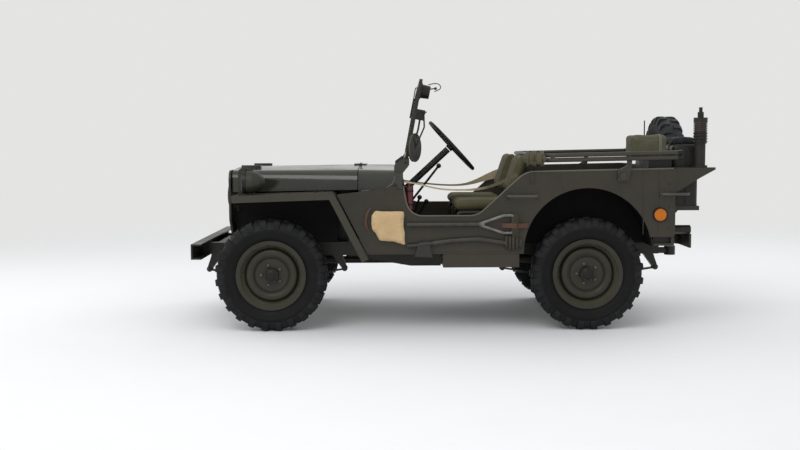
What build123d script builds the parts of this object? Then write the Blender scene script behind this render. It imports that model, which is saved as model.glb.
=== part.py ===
"""Open quarter-ton four-wheel-drive utility car, in millimetres.

+X points forward, +Y to the car's left and +Z up.  The origin is on the ground, under the middle
of the car's length and width.
"""
import os
from math import asin, cos, degrees, hypot, radians, sin

from build123d import *

os.makedirs("parts", exist_ok=True)

# Driving dimensions
LENGTH = 3365.0           # front bumper to the tip of the mast bracket
WIDTH = 1575.0            # over the grab handles
WHEELBASE = 2032.0
FRONT_OVERHANG = 510.0
TRACK = 1245.0
TYRE_R = 362.0            # out to the tips of the lugs
TYRE_W = 154.0
BODY_HALF = 735.0         # outer face of the body's side panels
PANEL = 20.0              # a pressed panel over its folded edges
SHEET = 12.0              # a single sheet with its beads
FLOOR_Z = 530.0           # underside of the floor, which lies on the frame
SCREEN_LEAN = 10.8        # degrees that the windscreen leans back
RIDE = 16.0               # the drawing's datum plane stands this far above the ground

FRONT_X = LENGTH / 2
REAR_X = -LENGTH / 2
FRONT_AXLE_X = FRONT_X - FRONT_OVERHANG
REAR_AXLE_X = FRONT_AXLE_X - WHEELBASE
AXLE_Z = TYRE_R - RIDE
WHEEL_Y = TRACK / 2
BODY_IN = BODY_HALF - PANEL
SIDES = ((1, "left"), (-1, "right"))


def save(piece, name):
    """Write one piece, raised from the drawing's datum so that the car stands on the ground."""
    raised = piece.part.moved(Location((0, 0, RIDE)))
    raised.label = name
    export_step(raised, f"parts/{name}.step")


def side_plane(y):
    """A plane across the car at y, whose own axes are X and Z; it extrudes towards -Y."""
    return Plane(origin=(0, y, 0), x_dir=(1, 0, 0), z_dir=(0, -1, 0))


def bent_rod(points, radius, bend):
    """A round rod or tube along straight runs joined by bends."""
    with BuildPart() as rod:
        with BuildLine() as path:
            FilletPolyline(*points, radius=bend)
        with BuildSketch(Plane(origin=path.line @ 0, z_dir=path.line % 0)):
            Circle(radius)
        sweep()
    return rod.part


def bar(start, end, radius):
    """A straight round bar between two points."""
    run = Vector(*end) - Vector(*start)
    with BuildPart() as piece:
        with BuildSketch(Plane(origin=start, z_dir=run)):
            Circle(radius)
        extrude(amount=run.length)
    return piece.part


def block(x0, x1, y0, y1, z0, z1):
    """A plain rectangular block between two corners."""
    with BuildPart() as piece:
        with Locations(((x0 + x1) / 2, (y0 + y1) / 2, (z0 + z1) / 2)):
            Box(x1 - x0, y1 - y0, z1 - z0)
    return piece.part


# Ladder frame: two channel rails, open inwards, and the members between them
RAIL_OUT = 360.0
RAIL_IN = 310.0
RAIL_Z0 = 440.0
RAIL_WALL = 7.0
RAIL_FRONT_X = FRONT_X - 70.0
RAIL_REAR_X = -1395.0
RAIL_DEPTH = FLOOR_Z - RAIL_Z0

with BuildPart() as frame_rails:
    with BuildSketch(Plane.YZ.offset(RAIL_REAR_X)):
        with Locations((RAIL_OUT, RAIL_Z0)):
            Rectangle(RAIL_OUT - RAIL_IN, RAIL_DEPTH, align=(Align.MAX, Align.MIN))
        with Locations((RAIL_OUT - RAIL_WALL, RAIL_Z0 + RAIL_WALL)):
            Rectangle(
                RAIL_OUT - RAIL_IN,
                RAIL_DEPTH - 2 * RAIL_WALL,
                align=(Align.MAX, Align.MIN),
                mode=Mode.SUBTRACT,
            )
    extrude(amount=RAIL_FRONT_X - RAIL_REAR_X)
    mirror(about=Plane.XZ)
save(frame_rails, "frame_rails")

MEMBER_Z0 = 452.0
MEMBER_Z1 = 518.0
MEMBER_WIDTH = 60.0
MEMBER_X = (1565.0, 10.0, -330.0, -1365.0)
PINTLE_REACH = 170.0      # from the rear member to the middle of the tow hook
PINTLE_R = 38.0
PINTLE_BORE_R = 17.0
PINTLE_H = 62.0
PINTLE_Z = 424.0
PINTLE_PLATE = (14.0, 110.0, 112.0)   # thickness, width and height of its bolting plate
SHANK_R = 22.0

with BuildPart() as cross_members:
    for member_x in MEMBER_X:
        with Locations((member_x, 0, (MEMBER_Z0 + MEMBER_Z1) / 2)):
            Box(MEMBER_WIDTH, 2 * RAIL_IN, MEMBER_Z1 - MEMBER_Z0)
    rear_face_x = MEMBER_X[-1] - MEMBER_WIDTH / 2
    with Locations((rear_face_x, 0, MEMBER_Z1)):
        Box(*PINTLE_PLATE, align=(Align.MAX, Align.CENTER, Align.MAX))
    with BuildSketch(Plane.YZ.offset(rear_face_x)):
        with Locations((0, PINTLE_Z)):
            Circle(SHANK_R)
    extrude(amount=-PINTLE_REACH)
    with BuildSketch(Plane.XY.offset(PINTLE_Z - PINTLE_H / 2)):
        with Locations((rear_face_x - PINTLE_REACH, 0)):
            Circle(PINTLE_R)
    extrude(amount=PINTLE_H)
    with Locations((rear_face_x - PINTLE_REACH, 0, PINTLE_Z)):
        Cylinder(PINTLE_BORE_R, 2 * PINTLE_H, mode=Mode.SUBTRACT)
save(cross_members, "cross_members")

# Front bumper: a channel across the rail ends, with a gusset from each rail
BUMPER_HALF = 685.0
BUMPER_Z0 = 452.0
BUMPER_Z1 = 551.0
BUMPER_DEPTH = 66.0
BUMPER_WALL = 10.0

with BuildPart() as front_bumper:
    with BuildSketch(side_plane(BUMPER_HALF)):
        with Locations((FRONT_X, BUMPER_Z0)):
            Rectangle(BUMPER_DEPTH, BUMPER_Z1 - BUMPER_Z0, align=(Align.MAX, Align.MIN))
        with Locations((FRONT_X - BUMPER_WALL, BUMPER_Z0 + BUMPER_WALL)):
            Rectangle(
                BUMPER_DEPTH,
                BUMPER_Z1 - BUMPER_Z0 - 2 * BUMPER_WALL,
                align=(Align.MAX, Align.MIN),
                mode=Mode.SUBTRACT,
            )
    extrude(amount=2 * BUMPER_HALF)
    for side, _ in SIDES:
        with Locations((RAIL_FRONT_X, side * (RAIL_IN + RAIL_OUT) / 2, BUMPER_Z0 + BUMPER_WALL)):
            Box(
                FRONT_X - BUMPER_WALL - RAIL_FRONT_X,
                RAIL_OUT - RAIL_IN,
                BUMPER_Z1 - BUMPER_Z0 - 2 * BUMPER_WALL,
                align=(Align.MIN, Align.CENTER, Align.MIN),
            )
save(front_bumper, "front_bumper")

# Rear bumperettes: a short channel on an arm behind each rail
BUMPERETTE_Z0 = 508.0
BUMPERETTE_Z1 = 598.0
BUMPERETTE_X = -1519.0
BUMPERETTE_FOOT_X = -1403.0
BUMPERETTE_Y0 = 395.0
BUMPERETTE_Y1 = 640.0

with BuildPart() as bumperettes:
    with BuildSketch(Plane.XY.offset(BUMPERETTE_Z0)):
        with BuildLine():
            FilletPolyline(
                (BUMPERETTE_FOOT_X, RAIL_OUT),
                (BUMPERETTE_X, BUMPERETTE_Y0 - 30),
                (BUMPERETTE_X, BUMPERETTE_Y1),
                radius=36,
            )
            offset(amount=SHEET, side=Side.LEFT)
        make_face()
    extrude(amount=BUMPERETTE_Z1 - BUMPERETTE_Z0)
    add(block(BUMPERETTE_FOOT_X - 6, RAIL_REAR_X, RAIL_IN, RAIL_OUT + SHEET, BUMPERETTE_Z0, FLOOR_Z - 2))
    mirror(about=Plane.XZ)
save(bumperettes, "bumperettes")

# Axles: a tube with an offset differential housing; the front one ends in balls
AXLE_TUBE_R = 38.0
DIFF_R = 115.0
DIFF_Y = -190.0
KINGPIN_Y = 505.0
BALL_R = 55.0
PLATE_R = 126.0
PLATE_Y0 = WHEEL_Y - 64.0
PLATE_T = 8.0
SPINDLE_R = 18.0
SPINDLE_END = WHEEL_Y + 40.0
COVER_R = 92.0

axle_ends = (
    # name, axle x, half-length of the tube, ball at its ends
    ("front_axle", FRONT_AXLE_X, KINGPIN_Y, True),
    ("rear_axle", REAR_AXLE_X, PLATE_Y0, False),
)
for axle_name, axle_x, tube_end, balls in axle_ends:
    with BuildPart() as axle:
        with BuildSketch(side_plane(tube_end)):
            with Locations((axle_x, AXLE_Z)):
                Circle(AXLE_TUBE_R)
        extrude(amount=2 * tube_end)
        with Locations((axle_x, DIFF_Y, AXLE_Z)):
            Sphere(DIFF_R)
        with BuildSketch(Plane.YZ.offset(axle_x)):
            with Locations((DIFF_Y, AXLE_Z)):
                Circle(COVER_R)
        extrude(amount=DIFF_R, both=True)
        for side, _ in SIDES:
            if balls:
                with Locations((axle_x, side * KINGPIN_Y, AXLE_Z)):
                    Sphere(BALL_R)
            else:
                with BuildSketch(side_plane(side * PLATE_Y0)):
                    with Locations((axle_x, AXLE_Z)):
                        Circle(PLATE_R)
                extrude(amount=-side * PLATE_T)
                with BuildSketch(side_plane(side * PLATE_Y0)):
                    with Locations((axle_x, AXLE_Z)):
                        Circle(SPINDLE_R)
                extrude(amount=-side * (SPINDLE_END - PLATE_Y0))
    save(axle, axle_name)

# Steering knuckles: a bowl round each ball, its kingpin caps, brake plate, spindle and arm
BOWL_OUT = 70.0
BOWL_IN = 58.0
BOWL_EDGE = 14.0          # how far the bowl reaches inboard of the kingpin
CAP_R = 20.0
CAP_REACH = 88.0
ARM_REACH = 150.0         # steering arm, from the kingpin to the rod's pin
ARM_Y = 485.0
ARM_Z0 = AXLE_Z - 10.0
ARM_T = 16.0

for side, side_name in SIDES:
    with BuildPart() as knuckle:
        with Locations((FRONT_AXLE_X, side * KINGPIN_Y, AXLE_Z)):
            Sphere(BOWL_OUT)
            Cylinder(CAP_R, 2 * CAP_REACH)
        arm_mid = (FRONT_AXLE_X + ARM_REACH / 2, side * (ARM_Y + 6), ARM_Z0)
        with Locations(arm_mid):
            Box(ARM_REACH + 36, 30, ARM_T, align=(Align.CENTER, Align.CENTER, Align.MIN))
        with Locations((FRONT_AXLE_X, side * KINGPIN_Y, AXLE_Z)):
            Sphere(BOWL_IN, mode=Mode.SUBTRACT)
        with Locations((FRONT_AXLE_X, side * (KINGPIN_Y - BOWL_EDGE), AXLE_Z)):
            Box(
                2 * BOWL_OUT,
                BOWL_OUT,
                4 * BOWL_OUT,
                align=(Align.CENTER, Align.MAX if side > 0 else Align.MIN, Align.CENTER),
                mode=Mode.SUBTRACT,
            )
        with BuildSketch(side_plane(side * PLATE_Y0)):
            with Locations((FRONT_AXLE_X, AXLE_Z)):
                Circle(PLATE_R)
        extrude(amount=-side * PLATE_T)
        with BuildSketch(side_plane(side * (KINGPIN_Y + BOWL_IN))):
            with Locations((FRONT_AXLE_X, AXLE_Z)):
                Circle(SPINDLE_R)
        extrude(amount=-side * (SPINDLE_END - KINGPIN_Y - BOWL_IN))
        with Locations((FRONT_AXLE_X, side * KINGPIN_Y, AXLE_Z)):
            Sphere(BOWL_IN, mode=Mode.SUBTRACT)
    save(knuckle, f"knuckle_{side_name}")

ROD_R = 11.0
ROD_Z = AXLE_Z + 25.0
ROD_END_R = 17.0
ROD_END_H = 24.0

with BuildPart() as tie_rod:
    with BuildSketch(side_plane(ARM_Y)):
        with Locations((FRONT_AXLE_X + ARM_REACH, ROD_Z)):
            Circle(ROD_R)
    extrude(amount=2 * ARM_Y)
    for side, _ in SIDES:
        with Locations((FRONT_AXLE_X + ARM_REACH, side * ARM_Y, ROD_Z)):
            Cylinder(ROD_END_R, ROD_END_H)
save(tie_rod, "tie_rod")

# Leaf springs under the axles: stepped leaves, eyes, and a hanger at each end
LEAF_T = 8.0
LEAF_W = 44.0
LEAF_Y = 334.0
LEAF_TOP = AXLE_Z - AXLE_TUBE_R
EYE_R = 19.0
EYE_RISE = 42.0
HANGER_W = 34.0           # at the eye; twice as wide where it meets the rail
HANGER_LEAN = 48.0
LEAF_SHARES = (1.0, 0.82, 0.62, 0.42)   # each leaf's share of the longest one
spring_table = (
    # axle x, half-length of the longest leaf
    (FRONT_AXLE_X, 455.0),
    (REAR_AXLE_X, 515.0),
)

with BuildPart() as leaf_springs:
    for spring_x, half in spring_table:
        bow = (half**2 + EYE_RISE**2) / (2 * EYE_RISE)
        for index, share in enumerate(LEAF_SHARES):
            inner = bow + index * LEAF_T
            swing = degrees(asin(half * share / bow))
            with BuildSketch(side_plane(LEAF_Y + LEAF_W / 2)):
                with BuildLine():
                    centre = (spring_x, LEAF_TOP + bow)
                    low = CenterArc(centre, inner + LEAF_T, 270 - swing, 2 * swing)
                    high = CenterArc(centre, inner, 270 - swing, 2 * swing)
                    Line(low @ 0, high @ 0)
                    Line(low @ 1, high @ 1)
                make_face()
            extrude(amount=LEAF_W)
        for end in (1, -1):
            eye = (spring_x + end * half, LEAF_TOP + EYE_RISE)
            with BuildSketch(side_plane(LEAF_Y + LEAF_W / 2)):
                with Locations(eye):
                    Circle(EYE_R)
                with BuildLine():
                    top_x = eye[0] - end * HANGER_LEAN
                    Polyline(
                        (eye[0] - HANGER_W / 2, eye[1]),
                        (eye[0] + HANGER_W / 2, eye[1]),
                        (top_x + HANGER_W, RAIL_Z0),
                        (top_x - HANGER_W, RAIL_Z0),
                        close=True,
                    )
                make_face()
            extrude(amount=LEAF_W)
    mirror(about=Plane.XZ)
save(leaf_springs, "leaf_springs")

# Engine, gearbox and transfer case: one plain mass
ENGINE_X0 = 640.0
ENGINE_X1 = 1240.0
ENGINE_HALF = 205.0
ENGINE_Z0 = 505.0
ENGINE_Z1 = 945.0
GEARBOX_X0 = 60.0
GEARBOX_HALF = 110.0
GEARBOX_Z0 = 335.0
GEARBOX_Z1 = 520.0
TRANSFER_LENGTH = 210.0
TRANSFER_Y = -250.0

with BuildPart() as power_unit:
    add(block(ENGINE_X0, ENGINE_X1, -ENGINE_HALF, ENGINE_HALF, ENGINE_Z0, ENGINE_Z1))
    chamfer(power_unit.edges().group_by(Axis.Z)[-1], 45)
    with BuildSketch(side_plane(GEARBOX_HALF)):
        with BuildLine():
            Polyline(
                (GEARBOX_X0, GEARBOX_Z0),
                (GEARBOX_X0 + TRANSFER_LENGTH, GEARBOX_Z0),
                (ENGINE_X0 + 60, GEARBOX_Z0 + 75),
                (ENGINE_X0 + 60, GEARBOX_Z1),
                (GEARBOX_X0, GEARBOX_Z1),
                close=True,
            )
        make_face()
    extrude(amount=2 * GEARBOX_HALF)
    transfer_case = (GEARBOX_X0, GEARBOX_X0 + TRANSFER_LENGTH, TRANSFER_Y, TRANSFER_Y + 200)
    add(block(*transfer_case, GEARBOX_Z0, GEARBOX_Z1 - 40))
save(power_unit, "power_unit")

SHAFT_R = 26.0
YOKE_R = 38.0
YOKE_LENGTH = 70.0
shaft_runs = (
    # rear end, front end
    (GEARBOX_X0 + TRANSFER_LENGTH, FRONT_AXLE_X - DIFF_R),
    (REAR_AXLE_X + DIFF_R, GEARBOX_X0),
)

with BuildPart() as prop_shafts:
    for run_x0, run_x1 in shaft_runs:
        with BuildSketch(Plane.YZ.offset(run_x0)):
            with Locations((DIFF_Y, AXLE_Z)):
                Circle(SHAFT_R)
        extrude(amount=run_x1 - run_x0)
        for yoke_x in (run_x0, run_x1 - YOKE_LENGTH):
            with BuildSketch(Plane.YZ.offset(yoke_x)):
                with Locations((DIFF_Y, AXLE_Z)):
                    Circle(YOKE_R)
            extrude(amount=YOKE_LENGTH)
save(prop_shafts, "prop_shafts")

# Exhaust on the right: pipe from the engine, silencer, and tail pipe ahead of the rear wheel
PIPE_R = 21.0
PIPE_Z = 408.0
PIPE_Y = -440.0
DOWN_PIPE_X = 690.0
SILENCER_R = 62.0
SILENCER_X0 = -300.0
SILENCER_X1 = 180.0

down_pipe = bent_rod(
    (
        (DOWN_PIPE_X, -255, ENGINE_Z0 + 90),
        (DOWN_PIPE_X, -255, PIPE_Z),
        (DOWN_PIPE_X - 170, PIPE_Y, PIPE_Z),
        (SILENCER_X1 - 20, PIPE_Y, PIPE_Z),
    ),
    PIPE_R,
    60,
)
tail_pipe = bent_rod(
    (
        (SILENCER_X0 + 20, PIPE_Y, PIPE_Z),
        (SILENCER_X0 - 80, PIPE_Y, PIPE_Z),
        (SILENCER_X0 - 120, -700, PIPE_Z - 10),
    ),
    PIPE_R,
    55,
)
with BuildPart() as exhaust:
    add(down_pipe)
    add(tail_pipe)
    with BuildSketch(Plane.YZ.offset(SILENCER_X0)):
        with Locations((PIPE_Y, PIPE_Z)):
            Circle(SILENCER_R)
    extrude(amount=SILENCER_X1 - SILENCER_X0)
    with Locations((DOWN_PIPE_X, -230, ENGINE_Z0 + 105)):
        Box(60, 50, 50)
    for strap_x in (SILENCER_X0 + 60, SILENCER_X1 - 60):
        with Locations((strap_x, PIPE_Y, PIPE_Z)):
            Box(24, 2 * SILENCER_R - 20, FLOOR_Z - PIPE_Z, align=(Align.CENTER, Align.CENTER, Align.MIN))
save(exhaust, "exhaust")

# Fuel tank in its well under the driver's seat
TANK_X0 = -405.0
TANK_X1 = 70.0
TANK_Y0 = 372.0
TANK_Y1 = BODY_IN - 3.0
TANK_Z0 = 400.0
TANK_Z1 = 690.0
TANK_GAP = 3.0

with BuildPart() as fuel_tank:
    add(block(TANK_X0, TANK_X1, TANK_Y0, TANK_Y1, TANK_Z0, TANK_Z1))
    fillet(fuel_tank.edges().filter_by(Axis.X), 25)
save(fuel_tank, "fuel_tank")

# Body sides: a flat pressed panel each, with the step-in cut-out and the rear wheel arch
ARCH_X = -848.0
ARCH_Z = 495.0
ARCH_R = 406.0
SILL_Z = 733.0
RAIL_TOP_Z = 1010.0       # the side's upper edge where the step-in cut-out ends
RAIL_REAR_Z = 1026.0      # and at the rear corner, since the body stands a little nose-down
BODY_REAR_X = -1400.0
COWL_FRONT_X = 612.0
COWL_REAR_X = 322.0
COWL_BASE_FRONT = 882.0
COWL_BASE_REAR = 926.0
SIDE_BOTTOM = 488.0


def cowl_base(x):
    """Height of the sloping ledge that the cowl stands on."""
    share = (COWL_FRONT_X - x) / (COWL_FRONT_X - COWL_REAR_X)
    return COWL_BASE_FRONT + share * (COWL_BASE_REAR - COWL_BASE_FRONT)


side_outline = (
    # x, z, corner radius
    (BODY_REAR_X, 588.0, 22.0),
    (BODY_REAR_X, RAIL_REAR_Z, 18.0),
    (-452.0, RAIL_TOP_Z, 150.0),
    (-150.0, SILL_Z, 130.0),
    (288.0, SILL_Z, 105.0),
    (COWL_REAR_X, cowl_base(COWL_REAR_X), 6.0),
    (COWL_FRONT_X, cowl_base(COWL_FRONT_X), 6.0),
    (744.0, 868.0, 8.0),
    (550.0, SIDE_BOTTOM, 10.0),
    (-700.0, SIDE_BOTTOM, 10.0),
    (-1000.0, 588.0, 10.0),
)

for side, side_name in SIDES:
    with BuildPart() as body_side:
        with BuildSketch(side_plane(side * BODY_HALF)):
            with BuildLine():
                FilletPolyline(
                    *[(x, z) for x, z, _ in side_outline],
                    radius=[corner for _, _, corner in side_outline],
                    close=True,
                )
            make_face()
            with Locations((ARCH_X, ARCH_Z)):
                Circle(ARCH_R, mode=Mode.SUBTRACT)
                Rectangle(2 * ARCH_R, 300, align=(Align.CENTER, Align.MAX), mode=Mode.SUBTRACT)
        extrude(amount=side * PANEL)
        if side > 0:
            add(block(TANK_X0 - 8, TANK_X1, BODY_IN, BODY_HALF, TANK_Z0, SIDE_BOTTOM))
    save(body_side, f"body_side_{side_name}")

# Wheel houses: arched boxes inside the body over the rear wheels
HOUSE_Y = 500.0
HOUSE_R = ARCH_R + 14.0

with BuildPart() as wheel_houses:
    with BuildSketch(side_plane(BODY_IN)):
        with Locations((ARCH_X, ARCH_Z)):
            Circle(HOUSE_R)
        with Locations((ARCH_X, FLOOR_Z)):
            Rectangle(2 * HOUSE_R + 40, 600, align=(Align.CENTER, Align.MAX), mode=Mode.SUBTRACT)
    extrude(amount=BODY_IN - HOUSE_Y)
    with BuildSketch(side_plane(BODY_IN)):
        with Locations((ARCH_X, ARCH_Z)):
            Circle(HOUSE_R - SHEET)
    extrude(amount=BODY_IN - HOUSE_Y - SHEET, mode=Mode.SUBTRACT)
    mirror(about=Plane.XZ)
save(wheel_houses, "wheel_houses")

# Steering column line, needed where it passes through the toe board
COLUMN_Y = 345.0
WHEEL_CENTRE = (-4.0, 1170.0)        # x and z of the steering wheel's centre
COLUMN_RAKE = 42.7                   # degrees below level, going forward
COLUMN_R = 22.0
COLUMN_LENGTH = 850.0
COLUMN_DIR = (cos(radians(COLUMN_RAKE)), 0, -sin(radians(COLUMN_RAKE)))


def on_column(distance):
    """A point on the column's axis, this far down from the steering wheel."""
    return (
        WHEEL_CENTRE[0] + distance * COLUMN_DIR[0],
        COLUMN_Y,
        WHEEL_CENTRE[1] + distance * COLUMN_DIR[2],
    )


column_clearance = bar(on_column(380), on_column(COLUMN_LENGTH + 60), COLUMN_R + 5)

# Floor with the sloping toe board, cut round the wheel houses and the tank well
FLOOR_T = 15.0
TOE_X0 = 462.0
TOE_X1 = 590.0
TOE_Z = 690.0
CARGO_X = (-950.0, -600.0)           # raised pressing of the load floor
CARGO_HALF = 450.0
CARGO_RISE = 5.0

with BuildPart() as floor_pan:
    with BuildSketch(side_plane(BODY_IN)):
        with BuildLine():
            Polyline(
                (BODY_REAR_X + PANEL, FLOOR_Z),
                (TOE_X0, FLOOR_Z),
                (TOE_X1, TOE_Z - FLOOR_T),
                (TOE_X1, TOE_Z + 4),
                (TOE_X0 - 8, FLOOR_Z + FLOOR_T),
                (BODY_REAR_X + PANEL, FLOOR_Z + FLOOR_T),
                close=True,
            )
        make_face()
    extrude(amount=2 * BODY_IN)
    for side, _ in SIDES:
        with Locations((ARCH_X, side * HOUSE_Y, FLOOR_Z)):
            Box(
                2 * HOUSE_R + 4,
                2 * BODY_HALF,
                4 * FLOOR_T,
                align=(Align.CENTER, Align.MIN if side > 0 else Align.MAX, Align.CENTER),
                mode=Mode.SUBTRACT,
            )
    tank_hole = block(
        TANK_X0 - TANK_GAP, TANK_X1 + TANK_GAP, TANK_Y0 - TANK_GAP, BODY_HALF, FLOOR_Z - 50, FLOOR_Z + 50
    )
    add(tank_hole, mode=Mode.SUBTRACT)
    add(column_clearance, mode=Mode.SUBTRACT)
    add(block(*CARGO_X, -CARGO_HALF, CARGO_HALF, FLOOR_Z, FLOOR_Z + FLOOR_T + CARGO_RISE))
save(floor_pan, "floor_pan")

# Rear panel with the spare wheel's carrier and the tray that holds the fuel can
SPARE_X = -1592.0
SPARE_Y = -300.0
SPARE_Z = 1009.0
SPARE_SEAT = 10.0          # the disc's bolting face, from the middle of the spare wheel
CAN_X0 = -1577.0
CAN_X1 = -1412.0
CAN_Y0 = 270.0
CAN_Y1 = 615.0
CAN_Z0 = 755.0
CAN_Z1 = 1175.0
TRAY_T = 6.0
TRAY_LIP = 22.0
CARRIER_R = 70.0

with BuildPart() as rear_panel:
    add(block(BODY_REAR_X, BODY_REAR_X + PANEL, -BODY_IN, BODY_IN, FLOOR_Z, RAIL_REAR_Z))
    with BuildSketch(Plane.YZ.offset(BODY_REAR_X)):
        with Locations((SPARE_Y, SPARE_Z - 60)):
            Rectangle(220, 120)
        with Locations((SPARE_Y, SPARE_Z)):
            Circle(CARRIER_R)
    extrude(amount=-(BODY_REAR_X - SPARE_X - SPARE_SEAT))
    tray = (CAN_X0 - TRAY_T, BODY_REAR_X, CAN_Y0 - TRAY_T - 2, CAN_Y1 + TRAY_T + 2)
    add(block(*tray, CAN_Z0 - TRAY_T, CAN_Z0 + TRAY_LIP))
    tray_well = block(CAN_X0 - 1, CAN_X1 + 1, CAN_Y0 - 2, CAN_Y1 + 2, CAN_Z0, CAN_Z1)
    add(tray_well, mode=Mode.SUBTRACT)
save(rear_panel, "rear_panel")

# Fuel can: rounded pressed halves, with a filler cap and three carrying bars on top
CAN_ROUND = 32.0

with BuildPart() as fuel_can:
    add(block(CAN_X0, CAN_X1, CAN_Y0, CAN_Y1, CAN_Z0, CAN_Z1))
    fillet(fuel_can.edges().filter_by(Axis.Z), CAN_ROUND)
    fillet(fuel_can.edges().group_by(Axis.Z)[-1], 30)
    for grip_x in (CAN_X0 + 40, (CAN_X0 + CAN_X1) / 2, CAN_X1 - 40):
        with Locations((grip_x, CAN_Y0 + 150, CAN_Z1 - 4)):
            Box(16, 170, 40, align=(Align.CENTER, Align.CENTER, Align.MIN))
            Box(16, 130, 24, align=(Align.CENTER, Align.CENTER, Align.MIN), mode=Mode.SUBTRACT)
    with Locations(((CAN_X0 + CAN_X1) / 2, CAN_Y1 - 75, CAN_Z1 - 4)):
        Cylinder(32, 44, align=(Align.CENTER, Align.CENTER, Align.MIN))
save(fuel_can, "fuel_can")


# Cowl and hood share one family of sections: upright sides, rounded shoulders, a crowned top
def shell_section(x, half, base, shoulder_z, shoulder_r, crown_z, inset=0.0):
    """One closed section across the car at x."""
    half = half - inset
    edge_z = shoulder_z + shoulder_r - inset
    shoulder_r = shoulder_r - inset
    shoulder_z = edge_z - shoulder_r
    mid = shoulder_r * (1 - cos(radians(45)))
    with BuildSketch(Plane.YZ.offset(x)) as section:
        with BuildLine():
            Polyline((-half, shoulder_z), (-half, base), (half, base), (half, shoulder_z))
            ThreePointArc((half, shoulder_z), (half - mid, edge_z - mid), (half - shoulder_r, edge_z))
            ThreePointArc((half - shoulder_r, edge_z), (0, crown_z - inset), (shoulder_r - half, edge_z))
            ThreePointArc((shoulder_r - half, edge_z), (mid - half, edge_z - mid), (-half, shoulder_z))
        make_face()
    return section.sketch


HOOD_FRONT_X = 1447.0
HOOD_GAP = 5.0            # between the hood and the cowl
HOOD_SKIN = 9.0
hood_sections = (
    # x, half-width, base z, shoulder z, shoulder radius, crown z
    (HOOD_FRONT_X, 458.0, 873.0, 954.0, 62.0, 1031.0),
    (COWL_FRONT_X + HOOD_GAP, 588.0, 891.0, 934.0, 86.0, 1040.0),
)
cowl_sections = (
    # x, half-width, base z, shoulder z, shoulder radius, crown z
    (COWL_FRONT_X, 588.0, COWL_BASE_FRONT, 934.0, 86.0, 1040.0),
    (COWL_REAR_X, BODY_HALF - 2, COWL_BASE_REAR, 934.0, 84.0, 1036.0),
)
HINGE_X = COWL_FRONT_X + HOOD_GAP / 2
HINGE_Z = 1048.0
HINGE_HALF = 120.0
HINGE_R = 6.0
HINGE_LEAF = 40.0
HINGE_LEAF_Z = 1037.0
BLOCK_X0 = 1276.0
BLOCK_X1 = 1406.0
BLOCK_Y = 296.0
BLOCK_H = 26.0
BLOCK_Z0 = 1020.0

hood_outer = [shell_section(*row) for row in hood_sections]
hood_inner = [
    shell_section(x + reach, half, base - 40, shoulder, radius, crown, HOOD_SKIN)
    for (x, half, base, shoulder, radius, crown), reach in zip(hood_sections, (1, -1))
]
hood_void = loft(hood_inner)

with BuildPart() as hood:
    loft(hood_outer)
    add(hood_void, mode=Mode.SUBTRACT)
    for side, _ in SIDES:
        with Locations(((BLOCK_X0 + BLOCK_X1) / 2, side * BLOCK_Y, BLOCK_Z0)):
            Box(BLOCK_X1 - BLOCK_X0, 34, BLOCK_H, align=(Align.CENTER, Align.CENTER, Align.MIN))
    with BuildSketch(side_plane(HINGE_HALF)):
        with Locations((HINGE_X, HINGE_Z)):
            Circle(HINGE_R)
        with Locations((COWL_FRONT_X + HOOD_GAP, HINGE_LEAF_Z)):
            Rectangle(HINGE_LEAF, HINGE_Z - HINGE_LEAF_Z, align=(Align.MIN, Align.MIN))
    extrude(amount=2 * HINGE_HALF)
save(hood, "hood")

# Cowl: the rounded scuttle, its ledge, the firewall, the instrument board and the screen brackets
COWL_SKIN = 10.0
BOARD_Z0 = 842.0
FIREWALL_T = 12.0
SCREEN_X = 303.8           # the windscreen's hinge line
SCREEN_Z = 1066.0
PIVOT_R = 9.0
BRACKET_Y0 = 702.0         # upper plate, beside the windscreen's post
BRACKET_Y1 = BODY_HALF + 0.5
BRACKET_T = 7.0
BRACKET_STEP = (972.0, 1004.0)       # where the lower plate is joggled in to the upper one
lower_plate = ((330.0, 884.0), (384.0, 960.0), (382.0, 1004.0), (322.0, 1004.0))
upper_plate = (
    # x, z
    (380.0, 972.0),
    (378.0, 1050.0),
    (326.0, 1088.0),
    (282.0, 1088.0),
    (282.0, 1052.0),
    (326.0, 996.0),
)

cowl_outer = [shell_section(*row) for row in cowl_sections]
cowl_inner = [
    shell_section(x + wall, half, base - 30, shoulder, radius, crown, COWL_SKIN)
    for (x, half, base, shoulder, radius, crown), wall in zip(cowl_sections, (-FIREWALL_T, FIREWALL_T))
]
cowl_void = loft(cowl_inner)

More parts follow.
